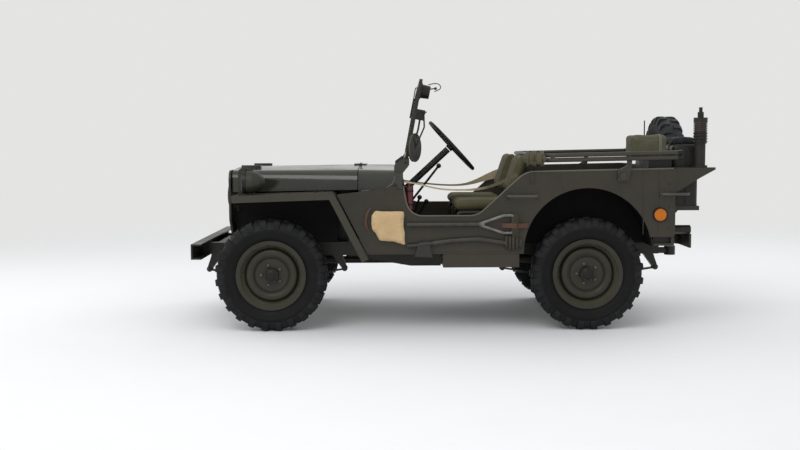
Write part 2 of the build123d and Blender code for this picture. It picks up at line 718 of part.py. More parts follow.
with BuildPart() as cowl:
    loft(cowl_outer)
    add(cowl_void, mode=Mode.SUBTRACT)
    add(block(TOE_X1, TOE_X1 + FIREWALL_T, -BODY_IN, BODY_IN, FLOOR_Z + FLOOR_T, cowl_base(TOE_X1) - 8))
    board_half = BODY_IN - 1
    add(block(COWL_REAR_X, COWL_REAR_X + FIREWALL_T, -board_half, board_half, BOARD_Z0, COWL_BASE_REAR + 8))
    add(block(HINGE_X - 42, HINGE_X - 9, -HINGE_HALF, HINGE_HALF, HINGE_LEAF_Z - 8, HINGE_Z - 2))
    with BuildSketch(side_plane(BODY_IN)):
        with BuildLine():
            Polyline(
                (COWL_REAR_X, cowl_base(COWL_REAR_X)),
                (TOE_X1 + FIREWALL_T, cowl_base(TOE_X1 + FIREWALL_T)),
                (TOE_X1 + FIREWALL_T, cowl_base(TOE_X1 + FIREWALL_T) - SHEET),
                (COWL_REAR_X, cowl_base(COWL_REAR_X) - SHEET),
                close=True,
            )
        make_face()
    extrude(amount=BODY_IN - 540)
    mirror(about=Plane.XZ)
    for side, _ in SIDES:
        for outline, plate_y in ((lower_plate, BRACKET_Y1), (upper_plate, BRACKET_Y0)):
            with BuildSketch(side_plane(side * plate_y)):
                with BuildLine():
                    FilletPolyline(*outline, radius=8, close=True)
                make_face()
            extrude(amount=-side * BRACKET_T)
        joggle = sorted((side * BRACKET_Y0, side * (BRACKET_Y1 + BRACKET_T)))
        add(block(330, 376, *joggle, *BRACKET_STEP))
        with Locations((SCREEN_X, side * BRACKET_Y0, SCREEN_Z)):
            Cylinder(PIVOT_R + 0.5, 60, rotation=(90, 0, 0), mode=Mode.SUBTRACT)
    add(column_clearance, mode=Mode.SUBTRACT)
save(cowl, "cowl")

# Windscreen: a folding frame with two panes, hinged on the cowl's brackets
SCREEN_HALF = 688.0
SCREEN_TOP_Z = 1598.0
SCREEN_DEPTH = 20.0
SCREEN_SKIRT = 14.0        # how far the frame reaches below its hinge
SCREEN_RAIL = 46.0
PANE_HALF = 640.0
MID_POST = 26.0
GLASS_T = 6.0
GLASS_GAP = 0.5
WIPER_RISE = 478.0         # the wiper motor's middle, up along the screen from the hinge
WIPER_R = 47.0
WIPER_DEPTH = 64.0
EAR_T = 8.0
lean = radians(SCREEN_LEAN)
SCREEN_RISE = (SCREEN_TOP_Z - SCREEN_Z) / cos(lean) - SCREEN_DEPTH / 2 * sin(lean)
screen_plane = Plane(origin=(SCREEN_X, 0, SCREEN_Z), x_dir=(0, 1, 0), z_dir=(cos(lean), 0, sin(lean)))
PANE_Y0 = SCREEN_RAIL - SCREEN_SKIRT + 30
PANE_Y1 = SCREEN_RISE - SCREEN_RAIL

with BuildPart() as windscreen_frame:
    with BuildSketch(screen_plane):
        with Locations((0, -SCREEN_SKIRT)):
            Rectangle(2 * SCREEN_HALF, SCREEN_RISE + SCREEN_SKIRT, align=(Align.CENTER, Align.MIN))
    extrude(amount=SCREEN_DEPTH / 2, both=True)
    top_corners = windscreen_frame.edges().filter_by(lambda edge: abs(edge.length - SCREEN_DEPTH) < 0.01)
    fillet(top_corners.group_by(Axis.Z)[-1], 60)
    with BuildSketch(screen_plane):
        for side, _ in SIDES:
            with Locations((side * (PANE_HALF + MID_POST) / 2, (PANE_Y0 + PANE_Y1) / 2)):
                RectangleRounded(PANE_HALF - MID_POST, PANE_Y1 - PANE_Y0, 22)
    extrude(amount=SCREEN_DEPTH, both=True, mode=Mode.SUBTRACT)
    with BuildSketch(screen_plane.offset(-SCREEN_DEPTH / 2)):
        with Locations((COLUMN_Y, WIPER_RISE)):
            RectangleRounded(2.4 * WIPER_R, 2.3 * WIPER_R, 20)
    extrude(amount=-8)
    with BuildSketch(screen_plane.offset(-SCREEN_DEPTH / 2)):
        with Locations((COLUMN_Y, WIPER_RISE)):
            Circle(WIPER_R)
    extrude(amount=-WIPER_DEPTH, taper=4)
    for side, _ in SIDES:
        with BuildSketch(side_plane(side * SCREEN_HALF)):
            with Locations((SCREEN_X, SCREEN_Z)):
                SlotCenterToCenter(44, 34, rotation=90 + SCREEN_LEAN)
        extrude(amount=-side * EAR_T)
        with BuildSketch(side_plane(side * SCREEN_HALF)):
            with Locations((SCREEN_X, SCREEN_Z)):
                Circle(PIVOT_R)
        extrude(amount=-side * (BRACKET_Y0 + BRACKET_T + 4 - SCREEN_HALF))
save(windscreen_frame, "windscreen_frame")

with BuildPart() as windscreen_glass:
    glass_w = PANE_HALF - MID_POST - 2 * GLASS_GAP
    glass_h = PANE_Y1 - PANE_Y0 - 2 * GLASS_GAP
    with BuildSketch(screen_plane):
        for side, _ in SIDES:
            with Locations((side * (PANE_HALF + MID_POST) / 2, (PANE_Y0 + PANE_Y1) / 2)):
                RectangleRounded(glass_w, glass_h, 22)
    extrude(amount=GLASS_T / 2, both=True)
save(windscreen_glass, "windscreen_glass")

# Driving mirror: a round dished back on two rods from a clamp on the left post
MIRROR_CENTRE = (250.0, 700.0, 1161.0)
MIRROR_R = 90.0
MIRROR_T = 12.0
MIRROR_TURN = radians(25)  # the glass looks back and a little outwards
CLAMP_RISE = 314.0         # the clamp's middle, up along the screen from its hinge
CLAMP_DEPTH = 52.0
CLAMP_Y = SCREEN_HALF - 22.0

mirror_plane = Plane(
    origin=MIRROR_CENTRE,
    x_dir=(sin(MIRROR_TURN), cos(MIRROR_TURN), 0),
    z_dir=(-cos(MIRROR_TURN), sin(MIRROR_TURN), 0),
)
clamp_plane = screen_plane.offset(-SCREEN_DEPTH / 2)
mirror_rods = [
    bent_rod(((210, CLAMP_Y, 1360), (224, CLAMP_Y + 10, 1280), (253, 696, 1180)), 6, 30),
    bent_rod(((188, CLAMP_Y, 1366), (186, CLAMP_Y + 10, 1290), (247, 704, 1150)), 5, 30),
]
with BuildPart() as driving_mirror:
    with BuildSketch(mirror_plane.offset(-MIRROR_T / 2)):
        Circle(MIRROR_R - 24)
    extrude(amount=-MIRROR_T / 2)
    with BuildSketch(mirror_plane.offset(-MIRROR_T / 2)):
        Circle(MIRROR_R)
    extrude(amount=MIRROR_T)
    with BuildSketch(clamp_plane):
        with Locations((CLAMP_Y, CLAMP_RISE)):
            RectangleRounded(38, 66, 10)
    extrude(amount=-CLAMP_DEPTH)
    add(mirror_rods)
save(driving_mirror, "driving_mirror")

# Grille: a pressed panel with nine tall slots and the lamp openings
GRILLE_X1 = 1467.0
GRILLE_T = 14.0
GRILLE_HALF = 482.0
GRILLE_Z0 = 556.0
GRILLE_Z1 = 1016.0
GRILLE_FOOT = 372.0        # half-width of the lower edge, cut back to clear the steered wheels
GRILLE_CUT_Z = 692.0
SLOT_COUNT = 9
SLOT_PITCH = 60.0
SLOT_W = 34.0
SLOT_Z0 = 640.0
SLOT_Z1 = 950.0
LAMP_Y = 368.0
LAMP_Z = 846.0
LAMP_R = 84.0
LAMP_DEPTH = 50.0

with BuildPart() as grille:
    with BuildSketch(Plane.YZ.offset(GRILLE_X1)):
        with BuildLine():
            FilletPolyline(
                (-GRILLE_FOOT, GRILLE_Z0),
                (GRILLE_FOOT, GRILLE_Z0),
                (GRILLE_HALF, GRILLE_CUT_Z),
                (GRILLE_HALF, GRILLE_Z1),
                (-GRILLE_HALF, GRILLE_Z1),
                (-GRILLE_HALF, GRILLE_CUT_Z),
                radius=(20, 20, 50, 66, 66, 50),
                close=True,
            )
        make_face()
        with Locations((0, (SLOT_Z0 + SLOT_Z1) / 2)):
            with GridLocations(SLOT_PITCH, 0, SLOT_COUNT, 1):
                SlotOverall(SLOT_Z1 - SLOT_Z0, SLOT_W, rotation=90, mode=Mode.SUBTRACT)
        for side, _ in SIDES:
            with Locations((side * LAMP_Y, LAMP_Z)):
                Circle(LAMP_R + 3, mode=Mode.SUBTRACT)
    extrude(amount=-GRILLE_T)
save(grille, "grille")

with BuildPart() as radiator:
    add(block(1368, 1436, -265, 265, FLOOR_Z + 6, 988))
    fillet(radiator.edges().filter_by(Axis.Y), 14)
save(radiator, "radiator")

# Front wings: a flat top, a sloping rear flange, a folded lip and the inner apron
WING_HALF = 762.0
WING_IN = 372.0
WING_T = 10.0
WING_LIP = 40.0
WING_LIP_T = 11.0
WING_BEND = 40.0
APRON_FRONT_X = 1438.0
APRON_NOSE_Z = 742.0      # the apron passes under the lamps
wing_front = Vector(1405, 858)
wing_crest = Vector(764, 877)
wing_foot = Vector(548, 455)


def wing_path(depth):
    """The wing's side outline, moved in by this depth towards the wheel."""
    along = (wing_crest - wing_front).normalized()
    down = (wing_foot - wing_crest).normalized()
    first = Vector(-along.Y, along.X)
    second = Vector(-down.Y, down.X)
    corner = wing_crest + (first + second) * (depth / (1 + first.dot(second)))
    return (wing_front + first * depth, corner, wing_foot + second * depth)


def wing_top(x):
    """Height of the wing's upper face."""
    slope = (wing_crest.Y - wing_front.Y) / (wing_front.X - wing_crest.X)
    return wing_front.Y + slope * (wing_front.X - x) + WING_T / 2


for side, side_name in SIDES:
    with BuildPart() as wing:
        with BuildSketch(side_plane(side * WING_HALF)):
            with BuildLine():
                FilletPolyline(*[(point.X, point.Y) for point in wing_path(0)], radius=WING_BEND)
            trace(line_width=WING_T)
        extrude(amount=side * (WING_HALF - WING_IN))
        with BuildSketch(side_plane(side * WING_HALF)):
            with BuildLine():
                lip_points = [(point.X, point.Y) for point in wing_path(WING_LIP / 2)]
                FilletPolyline(*lip_points, radius=WING_BEND - WING_LIP / 2)
            trace(line_width=WING_LIP)
        extrude(amount=side * WING_LIP_T)
        inner = sorted((side * WING_IN, side * (WING_IN + 8)))
        add(block(640, 1395, *inner, FLOOR_Z + 5, 857))
        add(block(1395, APRON_FRONT_X, *inner, FLOOR_Z + 5, APRON_NOSE_Z))
        behind_body = sorted((side * (WING_IN - 10), side * (BODY_HALF + 3)))
        add(block(500, 625, *behind_body, 400, 575), mode=Mode.SUBTRACT)
        above_slope = sorted((side * (WING_IN - 10), side * (WING_IN + 10)))
        apron_trim = block(600, 762, *above_slope, 400, 858)
        add(apron_trim, mode=Mode.SUBTRACT)
    save(wing, f"wing_{side_name}")

# Lamps at the front: two in the grille, and a driving lamp with its guard on the left wing
DRIVE_LAMP_X = 1252.0
DRIVE_LAMP_Y = 640.0
DRIVE_LAMP_Z = 946.0
DRIVE_LAMP_R = 72.0
GUARD_X = 1366.0
GUARD_W = 24.0
GUARD_T = 6.0
bowl_steps = (
    # middle from the lamp's datum, rear radius, front radius, length
    (-30.0, 26.0, 54.0, 32.0),
    (8.0, 54.0, 72.0, 44.0),
    (48.0, 72.0, 76.0, 36.0),
    (78.0, 76.0, 62.0, 24.0),
)

with BuildPart() as front_lamps:
    for side, _ in SIDES:
        with Locations((GRILLE_X1 - LAMP_DEPTH / 2 - 4, side * LAMP_Y, LAMP_Z)):
            Cone(LAMP_R - 20, LAMP_R, LAMP_DEPTH, rotation=(0, 90, 0))
        with Locations((GRILLE_X1 - LAMP_DEPTH, side * LAMP_Y, LAMP_Z)):
            Cylinder(22, 16, rotation=(0, 90, 0))
    for mid_x, rear_r, front_r, length in bowl_steps:
        with Locations((DRIVE_LAMP_X + mid_x, DRIVE_LAMP_Y, DRIVE_LAMP_Z)):
            Cone(rear_r, front_r, length, rotation=(0, 90, 0))
    stem_z = wing_top(DRIVE_LAMP_X + 16) + 0.2
    with Locations((DRIVE_LAMP_X + 30, DRIVE_LAMP_Y, stem_z)):
        Cylinder(14, DRIVE_LAMP_Z - stem_z, align=(Align.CENTER, Align.CENTER, Align.MIN))
    with BuildSketch(side_plane(DRIVE_LAMP_Y + GUARD_T / 2)):
        with BuildLine():
            FilletPolyline(
                (GUARD_X, wing_top(GUARD_X) + 0.4),
                (GUARD_X, DRIVE_LAMP_Z + 92),
                (DRIVE_LAMP_X + 30, DRIVE_LAMP_Z + DRIVE_LAMP_R - 8),
                radius=26,
            )
        trace(line_width=GUARD_W)
    extrude(amount=GUARD_T)
save(front_lamps, "front_lamps")

# Steering column with its box on the left rail, and the three-spoke steering wheel
HUB_CLEAR = 34.0
BOX_X0 = 600.0
BOX_X1 = 690.0

column_tube = bar(on_column(HUB_CLEAR), on_column(COLUMN_LENGTH), COLUMN_R)
with BuildPart() as steering_column:
    add(column_tube)
    add(block(BOX_X0 + 10, BOX_X1, COLUMN_Y - 34, RAIL_OUT, FLOOR_Z, FLOOR_Z + 86))
save(steering_column, "steering_column")

RIM_R = 207.0
RIM_TUBE_R = 11.5
HUB_R = 25.0
SPOKE_R = 7.0
SPOKE_ANGLES = (90.0, 210.0, 330.0)
wheel_plane = Plane(
    origin=on_column(0), x_dir=(0, 1, 0), z_dir=(-COLUMN_DIR[0], 0, -COLUMN_DIR[2])
)
with BuildPart(wheel_plane) as steering_wheel:
    Torus(RIM_R, RIM_TUBE_R)
    with Locations((0, 0, -14)):
        Cylinder(HUB_R, 30)
    with PolarLocations(RIM_R / 2, len(SPOKE_ANGLES), start_angle=SPOKE_ANGLES[0]):
        Cylinder(SPOKE_R, RIM_R, rotation=(0, 90, 0))
save(steering_wheel, "steering_wheel")

# Gear lever and the two transfer levers, in their floor plate
LEVER_R = 8.0
KNOB_R = 17.0
lever_table = (
    # knob x, knob y, knob z, foot x, bend share
    (70.0, 40.0, 1029.0, 262.0, 0.45),
    (203.0, -40.0, 805.0, 232.0, 0.5),
    (154.0, -90.0, 772.0, 205.0, 0.5),
)
LEVER_PLATE_Z = FLOOR_Z + FLOOR_T + 14

levers = []
for knob_x, knob_y, knob_z, foot_x, share in lever_table:
    knee = (foot_x + 10, knob_y, LEVER_PLATE_Z + share * (knob_z - LEVER_PLATE_Z))
    points = ((foot_x, knob_y, LEVER_PLATE_Z - 4), knee, (knob_x, knob_y, knob_z))
    levers.append(bent_rod(points, LEVER_R, 60))
with BuildPart() as gear_levers:
    add(levers)
    for knob_x, knob_y, knob_z, _, _ in lever_table:
        with Locations((knob_x, knob_y, knob_z)):
            Sphere(KNOB_R)
    add(block(180, 300, -130, 80, FLOOR_Z + FLOOR_T, LEVER_PLATE_Z))
save(gear_levers, "gear_levers")

# Seats: tube frames, and plain bodies for the padded cushions
SEAT_Y = 345.0
SEAT_HALF = 215.0
SEAT_X0 = -398.0
SEAT_X1 = 4.0
SEAT_Z0 = 748.0
SEAT_Z1 = 836.0
BACK_FOOT = (-352.0, 852.0)         # x and z of the backrest's lower front edge
BACK_TOP = (-446.0, 1130.0)
BACK_T = 66.0
TUBE_R = 13.0
REAR_SEAT_X0 = -1372.0
REAR_SEAT_X1 = -1012.0
REAR_SEAT_HALF = 430.0
REAR_SEAT_Z0 = 700.0
REAR_SEAT_Z1 = 788.0
REAR_BACK_T = 72.0
REAR_BACK_Z1 = 992.0

back_run = hypot(BACK_TOP[0] - BACK_FOOT[0], BACK_TOP[1] - BACK_FOOT[1])
back_up = ((BACK_TOP[0] - BACK_FOOT[0]) / back_run, (BACK_TOP[1] - BACK_FOOT[1]) / back_run)
back_plane = Plane(
    origin=(BACK_FOOT[0], 0, BACK_FOOT[1]), x_dir=(0, 1, 0), z_dir=(back_up[1], 0, -back_up[0])
)

with BuildPart() as rear_bench:
    rear_span = (-REAR_SEAT_HALF, REAR_SEAT_HALF)
    add(block(REAR_SEAT_X0, REAR_SEAT_X1, *rear_span, REAR_SEAT_Z0, REAR_SEAT_Z1))
    add(block(REAR_SEAT_X0, REAR_SEAT_X0 + REAR_BACK_T, *rear_span, REAR_SEAT_Z0, REAR_BACK_Z1))
    fillet(rear_bench.edges().filter_by(Axis.Y).group_by(Axis.Z)[-1], 26)
    fillet(rear_bench.edges().filter_by(Axis.Y).group_by(Axis.X)[-1], 30)

with BuildPart() as seat_cushions:
    for side, _ in SIDES:
        with Locations(((SEAT_X0 + SEAT_X1) / 2, side * SEAT_Y, (SEAT_Z0 + SEAT_Z1) / 2)):
            Box(SEAT_X1 - SEAT_X0, 2 * SEAT_HALF, SEAT_Z1 - SEAT_Z0)
    fillet(seat_cushions.edges(), 28)
    with BuildSketch(back_plane):
        for side, _ in SIDES:
            with Locations((side * SEAT_Y, back_run / 2)):
                RectangleRounded(2 * SEAT_HALF, back_run, 50)
    extrude(amount=-BACK_T)
    add(rear_bench.part)
save(seat_cushions, "seat_cushions")

SEAT_TUBE_Z = SEAT_Z0 - TUBE_R - 0.5
FLOOR_TOP = FLOOR_Z + FLOOR_T
BACK_TUBE_X = BACK_FOOT[0] - BACK_T - TUBE_R - 2
seat_tubes = []
for side, _ in SIDES:
    for edge in (-1, 1):
        tube_y = side * SEAT_Y + edge * (SEAT_HALF - 30)
        foot_z = TANK_Z1 if tube_y > TANK_Y0 else FLOOR_TOP
        seat_tubes.append(
            bent_rod(
                (
                    (SEAT_X1 - 40, tube_y, foot_z),
                    (SEAT_X1 - 40, tube_y, SEAT_TUBE_Z),
                    (BACK_TUBE_X - 10, tube_y, SEAT_TUBE_Z),
                    (BACK_TUBE_X + back_up[0] * 300 + 4, tube_y, SEAT_TUBE_Z + back_up[1] * 300),
                ),
                TUBE_R,
                24,
            )
        )
        seat_tubes.append(bar((SEAT_X0 + 30, tube_y, foot_z), (SEAT_X0 + 30, tube_y, SEAT_TUBE_Z), TUBE_R))
for side, _ in SIDES:
    tube_y = side * (REAR_SEAT_HALF - 60)
    for foot_x in (REAR_SEAT_X0 + 40, REAR_SEAT_X1 - 40):
        seat_tubes.append(bar((foot_x, tube_y, FLOOR_TOP), (foot_x, tube_y, REAR_SEAT_Z0), TUBE_R))
with BuildPart() as seat_frames:
    add(seat_tubes)
    for side, _ in SIDES:
        for cross_x in (SEAT_X1 - 120, SEAT_X0 + 30):
            with BuildSketch(side_plane(side * SEAT_Y + SEAT_HALF - 30)):
                with Locations((cross_x, SEAT_TUBE_Z)):
                    Circle(TUBE_R - 2)
            extrude(amount=2 * SEAT_HALF - 60)
    for foot_x in (REAR_SEAT_X0 + 40, REAR_SEAT_X1 - 40):
        with BuildSketch(side_plane(REAR_SEAT_HALF - 60)):
            with Locations((foot_x, REAR_SEAT_Z0 - 40)):
                Circle(TUBE_R - 2)
        extrude(amount=2 * REAR_SEAT_HALF - 120)
save(seat_frames, "seat_frames")

# Wireless set in the left rear corner: a stand past the wheel house, and the set in its cover
RADIO_X0 = -1372.0
RADIO_X1 = -1137.0
RADIO_Y0 = 440.0
RADIO_Y1 = 640.0
STAND_TOP = 1085.0
RADIO_TOP = 1235.0
STAND_Y0 = 450.0
STAND_Y1 = 690.0
stand_outline = (
    # x, z
    (BODY_REAR_X + PANEL, FLOOR_TOP),
    (-1272.0, FLOOR_TOP),
    (-1272.0, 650.0),
    (-1236.0, 704.0),
    (-1236.0, STAND_TOP),
    (BODY_REAR_X + PANEL, STAND_TOP),
)

with BuildPart() as radio_stand:
    with BuildSketch(side_plane(STAND_Y1)):
        with BuildLine():
            Polyline(*stand_outline, close=True)
        make_face()
    extrude(amount=STAND_Y1 - STAND_Y0)
save(radio_stand, "radio_stand")

with BuildPart() as radio_cover:
    add(block(RADIO_X0, RADIO_X1, RADIO_Y0, RADIO_Y1, STAND_TOP, RADIO_TOP))
    fillet(radio_cover.edges().filter_by(Axis.Z), 18)
    fillet(radio_cover.edges().group_by(Axis.Z)[-1], 16)
save(radio_cover, "radio_cover")

# Top bows, folded flat along the body, in a bracket on each side
BOW_R = 14.0
BOW_Y = 752.0
BOW_Z = (1122.0, 1092.0)
BOW_DROP = 15.0           # the bows lie this much lower at the front
BOW_FRONT_X = -548.0
BOW_REAR_X = -1425.0
BOW_CORNER = 110.0
bow_bracket = (
    # x, z
    (-1099.0, 942.0),
    (-1031.0, 942.0),
    (-1031.0, 1012.0),
    (-1086.0, 1040.0),
    (-1090.0, 1092.0),
    (-1122.0, 1092.0),
    (-1114.0, 1020.0),
)
BOSS_X = -1064.0
BOSS_Z = 975.0
BOSS_R = 24.0
BOW_CLIP_X = (-620.0, -1106.0, -1400.0)

bows = []
for bow_z in BOW_Z:
    bows.append(
        bent_rod(
            (
                (BOW_REAR_X, BOW_Y, bow_z),
                (BOW_FRONT_X, BOW_Y, bow_z - BOW_DROP),
                (BOW_FRONT_X, -BOW_Y, bow_z - BOW_DROP),
                (BOW_REAR_X, -BOW_Y, bow_z),
            ),
            BOW_R,
            BOW_CORNER,
        )
    )
with BuildPart() as top_bows:
    add(bows)
    for side, _ in SIDES:
        with BuildSketch(side_plane(side * BODY_HALF)):
            with BuildLine():
                FilletPolyline(*bow_bracket, radius=10, close=True)
            make_face()
        extrude(amount=-side * 14)
        with BuildSketch(side_plane(side * BODY_HALF)):
            with Locations((BOSS_X, BOSS_Z)):
                Circle(BOSS_R)
        extrude(amount=-side * 26)
        for clip_x in BOW_CLIP_X:
            share = (clip_x - BOW_REAR_X) / (BOW_FRONT_X - BOW_REAR_X)
            clip_z = sum(BOW_Z) / 2 - share * BOW_DROP
            with Locations((clip_x, side * BOW_Y, clip_z)):
                Box(24, BOW_R, 2 * BOW_R)
save(top_bows, "top_bows")

# Wireless mast: a bracket on the left rear corner, and the sprung base of the mast
MAST_X = -1565.0
MAST_Y = 678.0
SHELF_Z0 = 1012.0
SHELF_Z1 = 1026.0
SHELF_Y0 = 624.0
SHELF_Y1 = 732.0
SHELF_OUT_X = -1650.0     # the shelf's end slants forward towards the car's side
GUSSET_T = 9.0
gusset_outline = (
    # x, z
    (BODY_REAR_X, SHELF_Z0),
    (SHELF_OUT_X + 4, SHELF_Z0),
    (-1544.0, 956.0),
    (BODY_REAR_X, 866.0),
)

with BuildPart() as mast_bracket:
    with BuildSketch(Plane.XY.offset(SHELF_Z0)):
        with BuildLine():
            Polyline(
                (BODY_REAR_X, SHELF_Y0),
                (BODY_REAR_X, SHELF_Y1),
                (SHELF_OUT_X, SHELF_Y1),
                (REAR_X, SHELF_Y0),
                close=True,
            )
        make_face()
    extrude(amount=SHELF_Z1 - SHELF_Z0)
    for gusset_y in (SHELF_Y0 + GUSSET_T, SHELF_Y1):
        with BuildSketch(side_plane(gusset_y)):
            with BuildLine():
                Polyline(*gusset_outline, close=True)
            make_face()
        extrude(amount=GUSSET_T)
save(mast_bracket, "mast_bracket")

mast_steps = (
    # radius, top z
    (46.0, 1040.0),
    (33.0, 1177.0),
    (40.0, 1254.0),
    (36.0, 1312.0),
    (43.0, 1341.0),
    (19.0, 1376.0),
    (11.0, 1406.0),
)
with BuildPart() as mast_base:
    step_z = SHELF_Z1
    for step_r, step_top in mast_steps:
        with Locations((MAST_X, MAST_Y, step_z)):
            Cylinder(step_r, step_top - step_z, align=(Align.CENTER, Align.CENTER, Align.MIN))
        step_z = step_top
save(mast_base, "mast_base")

# Shovel and axe strapped to the left side, with the shovel's blade in a canvas cover
TOOL_Y = BODY_HALF + 18.0
SHOVEL_Z = 676.0
SHOVEL_R = 14.0
SHOVEL_FRONT_X = 300.0
GRIP_NECK_X = -190.0
GRIP_END_X = -372.0
GRIP_HALF = 56.0
AXE_R = 15.0
AXE_FRONT_X = 190.0
AXE_REAR_X = -332.0

grip = bent_rod(
    (
        (GRIP_NECK_X + 30, TOOL_Y, SHOVEL_Z + 4),
        (GRIP_END_X + 60, TOOL_Y, SHOVEL_Z + GRIP_HALF),
        (GRIP_END_X, TOOL_Y, SHOVEL_Z + GRIP_HALF),
        (GRIP_END_X, TOOL_Y, SHOVEL_Z - GRIP_HALF),
        (GRIP_END_X + 60, TOOL_Y, SHOVEL_Z - GRIP_HALF),
        (GRIP_NECK_X + 30, TOOL_Y, SHOVEL_Z - 4),
    ),
    9,
    16,
)
shovel_shaft = bar((GRIP_NECK_X, TOOL_Y, SHOVEL_Z), (SHOVEL_FRONT_X, TOOL_Y, SHOVEL_Z), SHOVEL_R)
axe_handle = bent_rod(
    (
        (AXE_REAR_X, TOOL_Y, 556),
        (AXE_REAR_X + 170, TOOL_Y, 584),
        (AXE_FRONT_X - 170, TOOL_Y, 574),
        (AXE_FRONT_X + 30, TOOL_Y, 546),
    ),
    AXE_R,
    160,
)
with BuildPart() as pioneer_tools:
    add(shovel_shaft)
    add(grip)
    add(axe_handle)
    with BuildSketch(side_plane(TOOL_Y + 12)):
        with BuildLine():
            Polyline(
                (AXE_FRONT_X + 34, 566),
                (AXE_FRONT_X - 30, 572),
                (AXE_FRONT_X - 52, 468),
                (AXE_FRONT_X + 62, 474),
                close=True,
            )
        make_face()
    extrude(amount=24)
    for clamp_x in (GRIP_END_X, SHOVEL_FRONT_X - 60):
        with Locations((clamp_x, BODY_HALF, SHOVEL_Z)):
            Box(26, TOOL_Y - BODY_HALF, 20, align=(Align.CENTER, Align.MIN, Align.CENTER))
    for clamp_x, clamp_z in ((AXE_REAR_X + 60, 566), (AXE_FRONT_X, 560)):
        with Locations((clamp_x, BODY_HALF, clamp_z)):
            Box(26, TOOL_Y - BODY_HALF, 20, align=(Align.CENTER, Align.MIN, Align.CENTER))
save(pioneer_tools, "pioneer_tools")

COVER_X0 = 304.0
COVER_X1 = 562.0
with BuildPart() as tool_cover:
    with BuildSketch(side_plane(BODY_HALF + 48)):
        with BuildLine():
            FilletPolyline(
                (COVER_X0, 772),
                (COVER_X0, 548),
                (COVER_X0 + 120, 560),
                (COVER_X1 - 48, 575),
                (COVER_X1, 690),
                (COVER_X1 - 24, 768),
                radius=18,
                close=True,
            )
        make_face()
    extrude(amount=47)
save(tool_cover, "tool_cover")

# Grab handles on both sides, and the ones that turn the rear corners
HANDLE_R = 9.0
HANDLE_Z = 853.0
HANDLE_X0 = -520.0
HANDLE_X1 = -337.0
HANDLE_Y = WIDTH / 2 - HANDLE_R
CORNER_Z = 861.0
CORNER_X0 = -1311.0
CORNER_X1 = -1475.0
CORNER_Y = BODY_HALF + 30.0

handles = []
for side, _ in SIDES:
    handles.append(
        bent_rod(
            (
                (HANDLE_X0, side * BODY_HALF, HANDLE_Z),
                (HANDLE_X0, side * HANDLE_Y, HANDLE_Z),
                (HANDLE_X1, side * HANDLE_Y, HANDLE_Z),
                (HANDLE_X1, side * BODY_HALF, HANDLE_Z),
            ),
            HANDLE_R,
            18,
        )
    )
    handles.append(
        bent_rod(
            (
                (CORNER_X0, side * BODY_HALF, CORNER_Z),
                (CORNER_X0, side * CORNER_Y, CORNER_Z),
                (CORNER_X1, side * CORNER_Y, CORNER_Z),
                (CORNER_X1, side * (BODY_IN - 40), CORNER_Z),
                (BODY_REAR_X, side * (BODY_IN - 40), CORNER_Z),
            ),
            HANDLE_R,
            18,
        )
    )
with BuildPart() as grab_handles:
    add(handles)
save(grab_handles, "grab_handles")

# Side reflectors and tail lamps
REFLECTOR_X = -1303.0
REFLECTOR_Z = 730.0
REFLECTOR_R = 41.0
TAIL_Y = 640.0
TAIL_Z = 627.0
TAIL_R = 25.0
TAIL_REACH = 121.0

with BuildPart() as reflectors:
    for side, _ in SIDES:
        with BuildSketch(side_plane(side * BODY_HALF)):
            with Locations((REFLECTOR_X, REFLECTOR_Z)):
                Circle(REFLECTOR_R)
        extrude(amount=-side * 12)
save(reflectors, "reflectors")

with BuildPart() as tail_lamps:
    with BuildSketch(Plane.YZ.offset(BODY_REAR_X)):
        for side, _ in SIDES:
            with Locations((side * TAIL_Y, TAIL_Z)):
                RegularPolygon(TAIL_R, 6, major_radius=False, rotation=30)
    extrude(amount=-TAIL_REACH)
save(tail_lamps, "tail_lamps")

# Fire extinguisher inside the left side, and the webbing straps across the step-in openings
BOTTLE_X = 284.0
BOTTLE_Y = 668.0
BOTTLE_R = 27.0
BOTTLE_Z0 = 770.0
BOTTLE_Z1 = 915.0

with BuildPart() as extinguisher:
    with Locations((BOTTLE_X, BOTTLE_Y, BOTTLE_Z0)):
        Cylinder(BOTTLE_R, BOTTLE_Z1 - BOTTLE_Z0, align=(Align.CENTER, Align.CENTER, Align.MIN))
    with Locations((BOTTLE_X, BOTTLE_Y, BOTTLE_Z1)):
        Cylinder(14, 30, align=(Align.CENTER, Align.CENTER, Align.MIN))
save(extinguisher, "extinguisher")

STRAP_T = 5.0
STRAP_W = 14.0
STRAP_Y = BODY_IN - 8
STRAP_Z = 936.0
STRAP_SAG = 44.0
STRAP_X0 = -372.0
STRAP_X1 = COWL_REAR_X - 4.0

with BuildPart() as safety_straps:
    for side, _ in SIDES:
        with BuildSketch(side_plane(side * STRAP_Y)):
            with BuildLine():
                middle = ((STRAP_X0 + STRAP_X1) / 2, STRAP_Z - STRAP_SAG)
                ThreePointArc((STRAP_X0, STRAP_Z), middle, (STRAP_X1, STRAP_Z))
            trace(line_width=STRAP_W)
        extrude(amount=side * STRAP_T)
save(safety_straps, "safety_straps")

# Tyre, built once round the Z axis: facetted carcass, dished sidewalls and two rows of bar lugs
RIM_FLANGE_R = 225.0
RIM_SEAT_R = 203.0
RIM_HALF = 66.0
BEAD_HALF = 57.0
TYRE_FACETS = 24
CARCASS_R = TYRE_R - 15.0
carcass_sections = (
    # distance from the middle plane, radius
    (-TYRE_W / 2, 300.0),
    (-64.0, 338.0),
    (-48.0, CARCASS_R),
    (48.0, CARCASS_R),
    (64.0, 338.0),
    (TYRE_W / 2, 300.0),
)
LUG_T = 26.0
lug_profile = (
    # radius, distance from the middle plane
    (CARCASS_R - 8, 7.0),
    (TYRE_R, 9.0),
    (TYRE_R, 50.0),
    (334.0, 74.0),
    (318.0, 70.0),
)
DISH_R = 294.0

